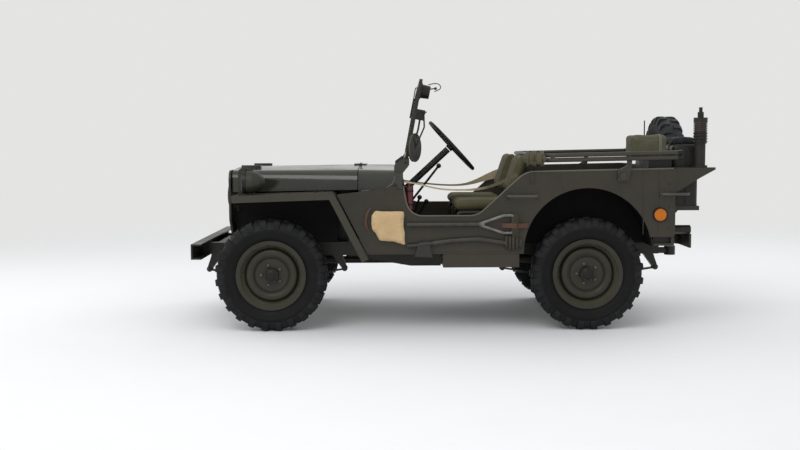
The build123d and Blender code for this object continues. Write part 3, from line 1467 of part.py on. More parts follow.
with BuildPart() as lug:
    with BuildSketch(Plane.XZ.offset(-LUG_T / 2)):
        with BuildLine():
            Polyline(*lug_profile, close=True)
        make_face()
    extrude(amount=LUG_T)

with BuildPart() as tyre_form:
    for level, radius in carcass_sections:
        with BuildSketch(Plane.XY.offset(level)):
            RegularPolygon(radius, TYRE_FACETS)
    loft(ruled=True)
    for end in (1, -1):
        with BuildSketch(Plane.XY.offset(end * TYRE_W / 2)):
            RegularPolygon(DISH_R, TYRE_FACETS)
        with BuildSketch(Plane.XY.offset(end * BEAD_HALF)):
            RegularPolygon(RIM_FLANGE_R + 2, TYRE_FACETS)
        loft(ruled=True, mode=Mode.SUBTRACT)
    with BuildSketch(Plane.XY.offset(-TYRE_W)):
        RegularPolygon(RIM_SEAT_R + 0.2, TYRE_FACETS, major_radius=False)
    extrude(amount=2 * TYRE_W, mode=Mode.SUBTRACT)
    with PolarLocations(0, TYRE_FACETS, start_angle=180 / TYRE_FACETS):
        add(lug.part)
    with PolarLocations(0, TYRE_FACETS):
        add(lug.part.mirror(Plane.XY))

# Pressed wheel, built once round the Z axis: rim, domed disc, and the drum and hub of a road wheel
RIM_IN_R = 196.0
DRUM_OUT = 118.0
DRUM_IN = 106.0
DRUM_EDGE = -50.0
HUB_OUT = 45.0
HUB_BORE = SPINDLE_R + 0.3
HUB_Y0 = -40.0
HUB_Y1 = 58.0
STUD_FACE = 18.0
DISC_T = 8.0
rim_profile = (
    # radius, distance outwards from the wheel's middle
    (172.0, 0.0),
    (RIM_IN_R, -4.0),
    (RIM_IN_R, -RIM_HALF),
    (RIM_FLANGE_R, -RIM_HALF),
    (RIM_FLANGE_R, -RIM_HALF + 6),
    (RIM_SEAT_R + 4, -BEAD_HALF),
    (RIM_SEAT_R, -BEAD_HALF),
    (RIM_SEAT_R, BEAD_HALF),
    (RIM_SEAT_R + 4, BEAD_HALF),
    (RIM_FLANGE_R, RIM_HALF - 6),
    (RIM_FLANGE_R, RIM_HALF),
    (RIM_FLANGE_R - 8, RIM_HALF),
    (RIM_IN_R + 3, RIM_HALF - 4),
    (RIM_IN_R, BEAD_HALF - 8),
    (RIM_IN_R - 6, 16.0),
    (182.0, 5.0),
    (176.0, 8.0),
)
DOME_EDGE = (120.0, 27.0)
disc_profile = (
    # radius, distance outwards from the wheel's middle
    DOME_EDGE,
    (112.0, STUD_FACE),
    (0.0, STUD_FACE),
    (0.0, STUD_FACE - DISC_T),
    (116.0, STUD_FACE - DISC_T),
)


def make_wheel(has_hub):
    """The wheel's form; the spare has a centre hole in place of the drum and hub."""
    with BuildPart() as wheel:
        with BuildSketch(Plane.XZ):
            with BuildLine():
                Polyline(*rim_profile)
                ThreePointArc(rim_profile[-1], (150, 37), DOME_EDGE)
                Polyline(*disc_profile)
                ThreePointArc(disc_profile[-1], (148, 27), rim_profile[0])
            make_face()
            if has_hub:
                with Locations((DRUM_IN - 6, DRUM_EDGE)):
                    Rectangle(DRUM_OUT - DRUM_IN, STUD_FACE - 4 - DRUM_EDGE, align=(Align.MIN, Align.MIN))
                with Locations((0, HUB_Y0)):
                    Rectangle(HUB_OUT, HUB_Y1 - HUB_Y0, align=(Align.MIN, Align.MIN))
                with Locations((0, HUB_Y0)):
                    hub_hole = (HUB_BORE, HUB_Y1 - HUB_Y0 - 8)
                    Rectangle(*hub_hole, align=(Align.MIN, Align.MIN), mode=Mode.SUBTRACT)
            else:
                Rectangle(HUB_OUT, 100, align=(Align.MIN, Align.CENTER), mode=Mode.SUBTRACT)
        revolve(axis=Axis.Z)
    return wheel.part


road_wheel = make_wheel(True)
spare_wheel = make_wheel(False)
wheel_places = (
    # name, form, centre, outward direction
    ("front_left", road_wheel, (FRONT_AXLE_X, WHEEL_Y, AXLE_Z), (0, 1, 0)),
    ("front_right", road_wheel, (FRONT_AXLE_X, -WHEEL_Y, AXLE_Z), (0, -1, 0)),
    ("rear_left", road_wheel, (REAR_AXLE_X, WHEEL_Y, AXLE_Z), (0, 1, 0)),
    ("rear_right", road_wheel, (REAR_AXLE_X, -WHEEL_Y, AXLE_Z), (0, -1, 0)),
    ("spare", spare_wheel, (SPARE_X, SPARE_Y, SPARE_Z), (-1, 0, 0)),
)
for place_name, wheel_form, centre, outward in wheel_places:
    with BuildPart(Plane(origin=centre, z_dir=outward)) as tyre:
        add(tyre_form.part)
    save(tyre, f"tyre_{place_name}")
    with BuildPart(Plane(origin=centre, z_dir=outward)) as wheel:
        add(wheel_form)
    save(wheel, f"wheel_{place_name}")
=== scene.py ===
from math import cos, pi, radians, sin, tan

import bpy
from mathutils import Matrix, Vector


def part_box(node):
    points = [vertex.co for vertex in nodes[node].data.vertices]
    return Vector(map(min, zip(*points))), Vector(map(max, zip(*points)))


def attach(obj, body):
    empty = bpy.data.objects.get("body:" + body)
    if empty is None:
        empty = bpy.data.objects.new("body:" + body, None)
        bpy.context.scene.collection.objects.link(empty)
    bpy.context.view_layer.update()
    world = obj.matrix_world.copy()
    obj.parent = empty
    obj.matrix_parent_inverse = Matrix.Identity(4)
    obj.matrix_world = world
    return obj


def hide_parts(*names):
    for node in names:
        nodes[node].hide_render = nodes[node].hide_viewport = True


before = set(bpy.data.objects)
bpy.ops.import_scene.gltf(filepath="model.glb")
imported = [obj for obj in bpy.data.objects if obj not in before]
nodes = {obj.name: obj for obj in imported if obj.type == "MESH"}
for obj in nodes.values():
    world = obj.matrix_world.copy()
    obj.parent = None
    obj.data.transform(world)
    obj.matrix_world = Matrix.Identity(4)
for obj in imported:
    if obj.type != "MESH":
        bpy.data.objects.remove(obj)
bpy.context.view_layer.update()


# Tub: flat pressed panels and floor, welded and brush-painted in a dull olive drab that has
# chalked on top and picked up road dust low down.  The grille, handles, tank, mast bracket and
# folded bows have the same paint, each worn in its own way.
def node_tree(name):
    """A new material's nodes, its shader, and the Object coordinates it reads."""
    material = bpy.data.materials.new(name)
    material.use_nodes = True
    tree = material.node_tree
    shader = tree.nodes["Principled BSDF"]
    place = tree.nodes.new("ShaderNodeTexCoord").outputs["Object"]
    return material, tree, shader, place


def noise(tree, place, scale, detail=4.0, rough=0.6):
    """A cloudy pattern from 0 to 1."""
    cloud = tree.nodes.new("ShaderNodeTexNoise")
    cloud.inputs["Scale"].default_value = scale
    cloud.inputs["Detail"].default_value = detail
    cloud.inputs["Roughness"].default_value = rough
    tree.links.new(place, cloud.inputs["Vector"])
    return cloud.outputs["Fac"]


def ramp(tree, value, low, high, dark=(0, 0, 0, 1), light=(1, 1, 1, 1)):
    """The value spread between two colours, dark up to low and light from high."""
    band = tree.nodes.new("ShaderNodeValToRGB")
    band.color_ramp.elements[0].position = low
    band.color_ramp.elements[1].position = high
    band.color_ramp.elements[0].color = dark
    band.color_ramp.elements[1].color = light
    tree.links.new(value, band.inputs["Fac"])
    return band.outputs["Color"]


def mixed(tree, share, first, second):
    """Two colours, each a socket or a tuple, mixed by a share that is a socket or a number."""
    mix = tree.nodes.new("ShaderNodeMix")
    mix.data_type = "RGBA"
    for socket, value in ((mix.inputs[0], share), (mix.inputs[6], first), (mix.inputs[7], second)):
        if isinstance(value, (int, float, tuple)):
            socket.default_value = value
        else:
            tree.links.new(value, socket)
    return mix.outputs[2]


def worked(tree, operation, first, second):
    """A maths node on two values, each a socket or a number."""
    sums = tree.nodes.new("ShaderNodeMath")
    sums.operation = operation
    for socket, value in zip(sums.inputs, (first, second)):
        if isinstance(value, (int, float)):
            socket.default_value = value
        else:
            tree.links.new(value, socket)
    return sums.outputs[0]


def bumped(tree, shader, height, strength, distance):
    """A fine relief in the surface."""
    bump = tree.nodes.new("ShaderNodeBump")
    bump.inputs["Strength"].default_value = strength
    bump.inputs["Distance"].default_value = distance
    tree.links.new(height, bump.inputs["Height"])
    tree.links.new(bump.outputs["Normal"], shader.inputs["Normal"])


def faded(tree, value, start, end):
    """0 where the value is at start, 1 at end, and held beyond both."""
    spread = tree.nodes.new("ShaderNodeMapRange")
    spread.inputs["From Min"].default_value = start
    spread.inputs["From Max"].default_value = end
    tree.links.new(value, spread.inputs["Value"])
    return spread.outputs["Result"]


def axes_of(tree, place):
    """The place's own X, Y and Z."""
    split = tree.nodes.new("ShaderNodeSeparateXYZ")
    tree.links.new(place, split.inputs[0])
    return split.outputs


def drab_paint(name, colour, chalk, dust_high=0.80, rough=0.36, dust=0.30, shine=0.28):
    """Dull military paint: mottled, chalky in patches, dusty up to a height, faintly brush-marked."""
    material, tree, shader, place = node_tree(name)
    patches = ramp(tree, noise(tree, place, 2.6, 6.0), 0.35, 0.72)
    specks = ramp(tree, noise(tree, place, 38.0, 3.0), 0.45, 0.75)
    now = mixed(tree, worked(tree, "MULTIPLY", patches, 0.6), (*colour, 1), (*chalk, 1))
    now = mixed(tree, worked(tree, "MULTIPLY", specks, 0.25), now, (*chalk, 1))
    low_down = faded(tree, axes_of(tree, place)["Z"], dust_high, 0.25)
    dusty = worked(tree, "MULTIPLY", low_down, noise(tree, place, 9.0, 6.0, 0.7))
    now = mixed(tree, worked(tree, "MULTIPLY", dusty, dust), now, (0.085, 0.070, 0.048, 1))
    tree.links.new(now, shader.inputs["Base Color"])
    gloss = mixed(tree, patches, (rough - 0.06,) * 3 + (1,), (rough + 0.12,) * 3 + (1,))
    tree.links.new(gloss, shader.inputs["Roughness"])
    shader.inputs["Specular IOR Level"].default_value = shine
    bumped(tree, shader, noise(tree, place, 120.0, 2.0), 0.05, 0.001)
    return material


def dress(material, *names):
    """A finish for CAD nodes whose own shape stays."""
    for name in names:
        nodes[name].data.materials.clear()
        nodes[name].data.materials.append(material)


olive = drab_paint("olive_drab", (0.0255, 0.0222, 0.0148), (0.045, 0.039, 0.027))
floor_paint = drab_paint(
    "floor_drab", (0.022, 0.021, 0.015), (0.038, 0.035, 0.026), dust_high=0.9, dust=0.5
)
bow_paint = drab_paint("bow_drab", (0.034, 0.0305, 0.022), (0.056, 0.050, 0.038), dust=0.0)
handle_paint = drab_paint(
    "handle_drab", (0.038, 0.035, 0.028), (0.095, 0.089, 0.077), rough=0.3, dust=0.0
)
dress(olive, "body_side_left", "body_side_right", "rear_panel", "grille")
dress(olive, "mast_bracket", "bumperettes", "fuel_tank")
dress(floor_paint, "floor_pan", "seat_frames")
dress(bow_paint, "top_bows")
dress(handle_paint, "grab_handles")


# Wheel houses: sheet-metal boxes welded into the tub over the rear wheels.  They carry the tub's
# paint, and within the round arch they are painted near black: road dirt and painted shade.
def from_axle(tree, across, flat_axis, axles):
    """The distance from the nearest axle, each given by its place along flat_axis and its height."""
    spans = []
    for flat, high in axles:
        squares = []
        for axis, at in ((flat_axis, flat), ("Z", high)):
            off = worked(tree, "ABSOLUTE", worked(tree, "SUBTRACT", across[axis], at), 0.0)
            squares.append(worked(tree, "POWER", off, 2.0))
        spans.append(worked(tree, "POWER", worked(tree, "ADD", *squares), 0.5))
    nearest = spans[0]
    for span in spans[1:]:
        nearest = worked(tree, "MINIMUM", nearest, span)
    return nearest


def finished(tree, shader, colour, rough, shine=0.5):
    """A shader's colour, roughness and shine."""
    tree.links.new(colour, shader.inputs["Base Color"])
    shader.inputs["Roughness"].default_value = rough
    shader.inputs["Specular IOR Level"].default_value = shine


ARCH_CENTRE = (-0.848, 0.511)
arch_paint, tree, shader, place = node_tree("wheel_house_drab")
arch_radius = from_axle(tree, axes_of(tree, place), "X", (ARCH_CENTRE,))
outside = faded(tree, arch_radius, 0.4123, 0.4153)
# Near black within the arch: road dirt and painted shade inside the wheel house over the tyre.
arch_dirt_and_shade = mixed(
    tree, noise(tree, place, 12.0, 5.0), (0.0025, 0.0025, 0.0023, 1), (0.006, 0.0055, 0.005, 1)
)
drab = mixed(
    tree, noise(tree, place, 4.0, 6.0), (0.020, 0.019, 0.014, 1), (0.040, 0.038, 0.028, 1)
)
finished(tree, shader, mixed(tree, outside, arch_dirt_and_shade, drab), 0.75, 0.1)
dress(arch_paint, "wheel_houses")


# Rolled edges: the rim of the step-in cut-out and of the upper rail is turned over a wire, and
# its paint is rubbed pale by boots and hands.
def clear():
    """Nothing is selected."""
    bpy.ops.object.select_all(action="DESELECT")


def only(piece):
    """This piece alone is selected and active."""
    clear()
    piece.select_set(True)
    bpy.context.view_layer.objects.active = piece


def closed_up(piece):
    """Doubles merged and faces turned outwards."""
    only(piece)
    bpy.ops.object.mode_set(mode="EDIT")
    bpy.ops.mesh.select_all(action="SELECT")
    bpy.ops.mesh.remove_doubles(threshold=1e-6)
    bpy.ops.mesh.normals_make_consistent(inside=False)
    bpy.ops.object.mode_set(mode="OBJECT")
    return piece


def tube(points, radius, smooth=True):
    """A round rod, wire or rolled edge along a line of points."""
    line = bpy.data.curves.new("line", "CURVE")
    line.dimensions = "3D"
    line.bevel_depth = radius
    line.bevel_resolution = 2
    line.resolution_u = 4
    line.use_fill_caps = True
    run = line.splines.new("NURBS" if smooth else "POLY")
    run.points.add(len(points) - 1)
    for point, at in zip(run.points, points):
        point.co = (*at, 1.0)
    run.use_endpoint_u = True
    run.order_u = 3
    piece = bpy.data.objects.new("rod", line)
    bpy.context.collection.objects.link(piece)
    only(piece)
    bpy.ops.object.convert(target="MESH")
    return closed_up(bpy.context.object)


def rounded(corners, steps=6):
    """Points along straight runs, with an arc of each corner's own radius between them."""
    line = [corners[0][:2]]
    for before, corner, after in zip(corners, corners[1:], corners[2:]):
        at = Vector(corner[:2])
        back = (Vector(before[:2]) - at).normalized()
        ahead = (Vector(after[:2]) - at).normalized()
        half = back.angle(ahead) / 2
        middle = at + (back + ahead).normalized() * (corner[2] / sin(half))
        first = at + back * (corner[2] / tan(half)) - middle
        last = at + ahead * (corner[2] / tan(half)) - middle
        for step in range(steps + 1):
            arm = first.lerp(last, step / steps).normalized() * corner[2]
            line.append(tuple(middle + arm))
    line.append(corners[-1][:2])
    return line


def settle(piece, name, body, finish, angle=35.0):
    """Gives a finished piece its name, finish and body, with its place in its mesh."""
    only(piece)
    bpy.ops.object.transform_apply(location=True, rotation=True, scale=True)
    bpy.ops.object.shade_smooth_by_angle(angle=radians(angle))
    piece.name = name
    piece.data.materials.clear()
    piece.data.materials.append(finish)
    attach(piece, body)
    return piece


SIDES = ((1, "left"), (-1, "right"))
side_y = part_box("body_side_left")[1][1]
edge_paint = drab_paint(
    "worn_edge_drab", (0.070, 0.066, 0.050), (0.130, 0.124, 0.098), rough=0.45
)
cut_out = rounded(
    (
        # x, z, corner radius
        (-1.385, 1.0415, 0.0),
        (-0.452, 1.026, 0.150),
        (-0.150, 0.749, 0.130),
        (0.288, 0.749, 0.105),
        (0.321, 0.938, 0.0),
    )
)
for side, side_name in SIDES:
    rim = [(x, side * (side_y - 0.001), z - 0.004) for x, z in cut_out]
    roll = tube(rim, 0.0055, smooth=False)
    settle(roll, f"rolled_edge_{side_name}", "chassis", edge_paint, 60)


# Seams, handle feet and side bolts: narrow welded overlaps on the rear corners and along the
# sill, the plates under the grab handles, a strap loop, and the hexagon bolts that hold them.
def slab(low, high, edge=0.002):
    """A plate or block between two corners, its edges broken."""
    clear()
    bpy.ops.mesh.primitive_cube_add(size=1.0, location=[(a + b) / 2 for a, b in zip(low, high)])
    piece = bpy.context.object
    piece.scale = [b - a for a, b in zip(low, high)]
    bpy.ops.object.transform_apply(location=True, rotation=False, scale=True)
    bpy.ops.object.mode_set(mode="EDIT")
    bpy.ops.mesh.select_all(action="SELECT")
    bpy.ops.mesh.bevel(offset=edge, segments=2, affect="EDGES")
    bpy.ops.object.mode_set(mode="OBJECT")
    return piece


def joined(pieces):
    """Several forms made one piece."""
    clear()
    for piece in pieces:
        piece.select_set(True)
    bpy.context.view_layer.objects.active = pieces[0]
    bpy.ops.object.join()
    bpy.ops.object.transform_apply(location=True, rotation=True, scale=True)
    return pieces[0]


def on_side(side, spans, proud, edge):
    """A thin plate on a body side; spans are from x, to x, from z and to z."""
    x_low, x_high, z_low, z_high = spans
    y_low, y_high = sorted((side * side_y, side * (side_y + proud)))
    return slab((x_low, y_low, z_low), (x_high, y_high, z_high), edge)


def bolts(places, turn, across, height):
    """Hexagon heads with broken edges, standing on a face."""
    heads = []
    for place in places:
        clear()
        bpy.ops.mesh.primitive_cylinder_add(
            vertices=6, radius=across / 2, depth=height, location=place, rotation=turn
        )
        head = bpy.context.object
        bpy.ops.object.mode_set(mode="EDIT")
        bpy.ops.mesh.select_all(action="SELECT")
        bpy.ops.mesh.bevel(offset=height * 0.2, segments=1, affect="EDGES")
        bpy.ops.object.mode_set(mode="OBJECT")
        heads.append(head)
    return joined(heads)


FACE_Y = (pi / 2, 0, 0)
HANDLE_FEET_X = (-0.520, -0.337)
corner_foot = (-1.325, -1.297, 0.853, 0.901)
strap_loop = (
    # from x, to x, from z, to z
    (-0.515, -0.509, 0.949, 1.020),
    (-0.483, -0.477, 0.949, 1.020),
    (-0.515, -0.477, 0.945, 0.951),
    (-0.515, -0.477, 1.014, 1.020),
)
for side, side_name in SIDES:
    seams = [
        on_side(side, (-1.199, -1.194, 0.62, 1.03), 0.002, 0.0008),
        on_side(side, (-1.295, -1.290, 0.62, 1.03), 0.002, 0.0008),
        on_side(side, (-0.44, 0.545, 0.503, 0.514), 0.004, 0.0008),
    ]
    settle(joined(seams), f"seams_{side_name}", "chassis", olive)
    feet = [
        on_side(side, (x - 0.014, x + 0.014, 0.845, 0.893), 0.004, 0.0015) for x in HANDLE_FEET_X
    ]
    feet.append(on_side(side, corner_foot, 0.004, 0.0015))
    feet += [on_side(side, spans, 0.004, 0.0012) for spans in strap_loop]
    settle(joined(feet), f"handle_feet_{side_name}", "chassis", olive)
    bolt_y = side * (side_y + 0.002)
    heads = [(x, bolt_y, z) for x in HANDLE_FEET_X for z in (0.849, 0.889)]
    heads += [(x, bolt_y, 0.915) for x in (0.36, 0.44, 0.52)]
    heads += [(-1.36, bolt_y, z) for z in (0.66, 0.80, 0.94)]
    side_bolts = bolts(heads, FACE_Y, 0.013, 0.006)
    settle(side_bolts, f"side_bolts_{side_name}", "chassis", olive)

# Chassis: rails, axles, springs, shafts and exhaust in thin black paint under dried mud.  The
# springs hang on pins through their eyes, each with a nut outside.
black_frame = drab_paint(
    "chassis_black", (0.008, 0.008, 0.0075), (0.020, 0.019, 0.017), dust_high=0.7, dust=0.4
)
dress(black_frame, "frame_rails", "cross_members", "front_axle", "rear_axle", "leaf_springs")
dress(black_frame, "power_unit", "prop_shafts", "exhaust", "tie_rod", "radiator")
dress(black_frame, "knuckle_left", "knuckle_right", "steering_column", "gear_levers")
dress(black_frame, "tail_lamps", "driving_mirror", "radio_stand")
FRONT_AXLE_X = 1.1725
REAR_AXLE_X = -0.8595
AXLE_Z = 0.362
EYES_X = (1.6275, 0.7175, -0.3445, -1.3745)
EYES_Z = 0.366
CLAMP_HALF = 0.035
pins = [(x, side * 0.3605, EYES_Z) for x in EYES_X for side in (1, -1)]
settle(bolts(pins, FACE_Y, 0.024, 0.009), "spring_pins", "chassis", black_frame)
clamps = []
for axle_x in (FRONT_AXLE_X, REAR_AXLE_X):
    for x in (axle_x - CLAMP_HALF, axle_x + CLAMP_HALF):
        for y in (0.312, 0.356, -0.312, -0.356):
            leg = ((x, y, 0.285), (x, y, 0.400), (x, y * 0.99, 0.406))
            clamps.append(tube(leg, 0.006, smooth=False))
settle(joined(clamps), "spring_clamps", "chassis", black_frame)


# Front end: wings, bumper and lamps in a fresher, darker coat of the same paint, and painted shade,
# near black, under the wings.  Bolts hold the wings to the body, and the lamps' glass sits in
# pressed bezels.
def placed(piece, move=(0, 0, 0), turn=(0, 0, 0)):
    """A form turned about the origin and then moved to its place."""
    piece.rotation_euler = turn
    piece.location = move
    only(piece)
    bpy.ops.object.transform_apply(location=True, rotation=True, scale=True)
    return piece


def drafted(points, edges, faces):
    """Points, edges and faces as a new form, selected alone."""
    outline = bpy.data.meshes.new("outline")
    outline.from_pydata(points, edges, faces)
    piece = bpy.data.objects.new("form", outline)
    bpy.context.collection.objects.link(piece)
    only(piece)
    return piece


def spun(profile, steps=48, closed=False):
    """A form turned round the Y axis from (radius, distance along the axis) points."""
    rows = [(radius, along, 0.0) for radius, along in profile]
    edges = [(index, index + 1) for index in range(len(rows) - 1)]
    if closed:
        edges.append((len(rows) - 1, 0))
    piece = drafted(rows, edges, [])
    bpy.ops.object.mode_set(mode="EDIT")
    bpy.ops.mesh.select_all(action="SELECT")
    bpy.ops.mesh.spin(steps=steps, angle=2 * pi, center=(0, 0, 0), axis=(0, 1, 0))
    bpy.ops.object.mode_set(mode="OBJECT")
    return closed_up(piece)


def turned(profile, at, facing, steps=48, closed=False):
    """A spun form, faced and put in its place."""
    return placed(spun(profile, steps, closed), at, facing)


def glassy(name, colour, rough, transmission=0.0):
    """Glass, lens or enamel with a thin smear of dirt."""
    material, tree, shader, place = node_tree(name)
    smear = ramp(tree, noise(tree, place, 12.0, 5.0), 0.4, 0.8)
    soiled = tuple(0.7 * part + 0.02 for part in colour)
    now = mixed(tree, worked(tree, "MULTIPLY", smear, 0.35), (*colour, 1), (*soiled, 1))
    finished(tree, shader, now, rough)
    shader.inputs["Transmission Weight"].default_value = transmission
    return material


FACE_X = (0, pi / 2, 0)
TO_FRONT = (0, 0, -pi / 2)
WING_FALL = 0.0296
dark_olive = drab_paint("dark_olive", (0.020, 0.021, 0.014), (0.034, 0.034, 0.024), dust=0.25)
bumper_paint = drab_paint(
    "bumper_drab", (0.013, 0.0128, 0.0092), (0.026, 0.025, 0.0185), dust=0.2
)
dress(dark_olive, "front_lamps")
dress(bumper_paint, "front_bumper")

wing_paint, tree, shader, place = node_tree("wing_drab")
across = axes_of(tree, place)
# Inboard faces below the wing flange are painted near black and rougher: painted shade under the wing.
inboard = faded(tree, worked(tree, "ABSOLUTE", across["Y"], 0.0), 0.715, 0.700)
apron_shade = worked(tree, "MULTIPLY", inboard, faded(tree, across["Z"], 0.880, 0.860))
wing_tone = mixed(
    tree, noise(tree, place, 5.0, 6.0), (0.030, 0.0292, 0.0200, 1), (0.052, 0.0500, 0.0360, 1)
)
shade = mixed(tree, apron_shade, wing_tone, (0.0045, 0.0045, 0.004, 1))
tree.links.new(shade, shader.inputs["Base Color"])
gloss = mixed(tree, apron_shade, (0.36, 0.36, 0.36, 1), (0.8, 0.8, 0.8, 1))
tree.links.new(gloss, shader.inputs["Roughness"])
shader.inputs["Specular IOR Level"].default_value = 0.22
bumped(tree, shader, noise(tree, place, 120.0, 2.0), 0.08, 0.001)
dress(wing_paint, "wing_left", "wing_right")

lens_glass = glassy("lamp_glass", (0.55, 0.57, 0.55), 0.08)
black_paint = drab_paint(
    "black_enamel", (0.006, 0.006, 0.006), (0.014, 0.014, 0.013), rough=0.3, dust=0.1
)
bezel_profile = (
    # radius, distance along the axis
    (0.058, 0.000), (0.070, -0.004), (0.0765, -0.002), (0.0775, 0.010), (0.074, 0.020),
    (0.066, 0.024), (0.060, 0.018),
)
lens_profile = (
    (0.0, 0.014), (0.03, 0.0125), (0.05, 0.008), (0.0605, 0.002), (0.0605, -0.004), (0.0, -0.004),
)
bezel = turned(bezel_profile, (1.326, 0.640, 0.962), TO_FRONT, closed=True)
settle(bezel, "driving_lamp_bezel", "chassis", black_paint)
drive_lens = turned(lens_profile, (1.3425, 0.640, 0.962), TO_FRONT)
settle(drive_lens, "driving_lamp_lens", "chassis", lens_glass)
for side, side_name in SIDES:
    rim = turned(bezel_profile, (1.458, side * 0.368, 0.862), TO_FRONT, closed=True)
    settle(rim, f"head_lamp_rim_{side_name}", "chassis", dark_olive)
    lens = turned(lens_profile, (1.464, side * 0.368, 0.862), TO_FRONT)
    settle(lens, f"head_lamp_lens_{side_name}", "chassis", lens_glass)
    heads = [
        (x, side * 0.728, 0.8825 + (1.405 - x) * WING_FALL) for x in (1.36, 1.20, 1.04, 0.88)
    ]
    wing_bolts = bolts(heads, (0, 0, 0), 0.012, 0.005)
    settle(wing_bolts, f"wing_bolts_{side_name}", "chassis", dark_olive)
heads = [(1.6805, y, z) for y in (-0.335, 0.335) for z in (0.490, 0.545)]
bumper_bolts = bolts(heads, FACE_X, 0.020, 0.004)
settle(bumper_bolts, "bumper_bolts", "chassis", dark_olive)


# Road wheels and spare: pressed steel discs, dusty olive, with five wheel nuts, a hub cap and its
# bolts, and a valve.  The tyres are black bar-tread crossplies: a turned carcass and cut lugs.
def copied(piece, move=(0, 0, 0), turn=(0, 0, 0)):
    """A copy with its own mesh, put in its place."""
    twin = piece.copy()
    twin.data = piece.data.copy()
    bpy.context.collection.objects.link(twin)
    return placed(twin, move, turn)


def stamped(corners, through, edge, segments):
    """A flat outline drawn out into a block, its edges broken."""
    piece = drafted(corners, [], [tuple(range(len(corners)))])
    bpy.ops.object.mode_set(mode="EDIT")
    bpy.ops.mesh.select_all(action="SELECT")
    bpy.ops.mesh.extrude_region_move(TRANSFORM_OT_translate={"value": through})
    bpy.ops.mesh.select_all(action="SELECT")
    bpy.ops.mesh.normals_make_consistent(inside=False)
    bpy.ops.mesh.bevel(offset=edge, segments=segments, affect="EDGES")
    bpy.ops.object.mode_set(mode="OBJECT")
    return piece


def tyre_finish(name, flat_axis, axles, dark, pale):
    """Black rubber, dusty on the lugs and shoulders, for tyres round these axles."""
    material, tree, shader, place = node_tree(name)
    tread = faded(tree, from_axle(tree, axes_of(tree, place), flat_axis, axles), 0.296, 0.304)
    grime = ramp(tree, noise(tree, place, 14.0, 6.0), 0.35, 0.7)
    on_wall = worked(tree, "MULTIPLY", grime, 0.6)
    wall = mixed(tree, on_wall, (0.0022, 0.0023, 0.0024, 1), (0.0060, 0.0058, 0.0056, 1))
    worn = mixed(tree, worked(tree, "MULTIPLY", grime, 0.8), (*dark, 1), (*pale, 1))
    finished(tree, shader, mixed(tree, tread, wall, worn), 0.62, 0.2)
    bumped(tree, shader, noise(tree, place, 220.0, 2.0), 0.08, 0.001)
    return material


WHEEL_Y = 0.6225
SPARE_PLACE = (-1.592, -0.300, 1.025)
SPARE_FACING = (0, 0, pi / 2)
road_axles = ((FRONT_AXLE_X, AXLE_Z), (REAR_AXLE_X, AXLE_Z))
wheel_paint = drab_paint(
    "wheel_drab", (0.020, 0.0195, 0.014), (0.038, 0.036, 0.027), dust_high=0.9, dust=0.35
)
bare_steel = drab_paint(
    "worn_steel", (0.16, 0.155, 0.14), (0.28, 0.27, 0.25), rough=0.35, dust=0.2
)
dress(wheel_paint, "wheel_spare")
ring_paint, tree, shader, place = node_tree("wheel_ring_drab")
radius = from_axle(tree, axes_of(tree, place), "X", road_axles)
drab = mixed(
    tree, noise(tree, place, 9.0, 6.0), (0.019, 0.018, 0.0115, 1), (0.038, 0.0355, 0.024, 1)
)
# Rings of painted light and shade on the discs: a painted highlight in the rim well, painted shade in
# the dark ring outside the dome, then a dark line and a dark centre.
disc_light_and_shade = (
    # from radius, to radius, soft edge, colour
    (0.176, 0.198, 0.004, (0.085, 0.080, 0.055)),
    (0.162, 0.172, 0.004, (0.0040, 0.0038, 0.0030)),
    (0.104, 0.111, 0.003, (0.0045, 0.0043, 0.0035)),
    (-0.02, 0.046, 0.006, (0.0060, 0.0056, 0.0045)),
)
for inner, outer, soft, tone in disc_light_and_shade:
    from_inner = faded(tree, radius, inner - soft, inner + soft)
    to_outer = faded(tree, radius, outer + soft, outer - soft)
    ring = worked(tree, "MULTIPLY", from_inner, to_outer)
    drab = mixed(tree, worked(tree, "MULTIPLY", ring, 0.85), drab, (*tone, 1))
finished(tree, shader, drab, 0.42, 0.25)
bumped(tree, shader, noise(tree, place, 120.0, 2.0), 0.08, 0.001)
dress(ring_paint, "wheel_front_left", "wheel_front_right", "wheel_rear_left", "wheel_rear_right")

tyre_rubber = tyre_finish(
    "tyre_rubber", "X", road_axles, (0.0060, 0.0063, 0.0068), (0.0160, 0.0163, 0.0170)
)
spare_rubber = tyre_finish(
    "spare_rubber", "Y", (SPARE_PLACE[1:],), (0.0130, 0.0138, 0.0150), (0.0340, 0.0350, 0.0370)
)
half_carcass = (
    # radius, distance from the middle plane
    (0.2036, 0.0565), (0.2270, 0.0575), (0.2310, 0.0600), (0.2420, 0.0635), (0.2440, 0.0655),
    (0.2640, 0.0715), (0.2800, 0.0745), (0.2820, 0.0758), (0.2960, 0.0758), (0.2980, 0.0744),
    (0.3180, 0.0695), (0.3350, 0.0610), (0.3470, 0.0500), (0.3535, 0.0300),
)
carcass_profile = [(r, -y) for r, y in half_carcass] + list(reversed(half_carcass))
LUGS = 24
LUG_HALF = 0.020
lug_outline = (
    # radius, distance from the middle plane
    (0.3390, 0.0070), (0.3605, 0.0085), (0.3620, 0.0105), (0.3620, 0.0490), (0.3595, 0.0570),
    (0.3490, 0.0685), (0.3310, 0.0750), (0.3070, 0.0768), (0.3010, 0.0715), (0.3300, 0.0560),
)
lug = stamped([(r, y, -LUG_HALF) for r, y in lug_outline], (0, 0, 2 * LUG_HALF), 0.0018, 1)
lugs = []
for index in range(LUGS):
    lugs.append(copied(lug, turn=(0, (index + 0.5) * 2 * pi / LUGS, 0)))
    lugs.append(copied(lug, turn=(pi, index * 2 * pi / LUGS, 0)))
tyre = joined([spun(carcass_profile, 96, closed=True), *lugs])
bpy.data.objects.remove(lug)

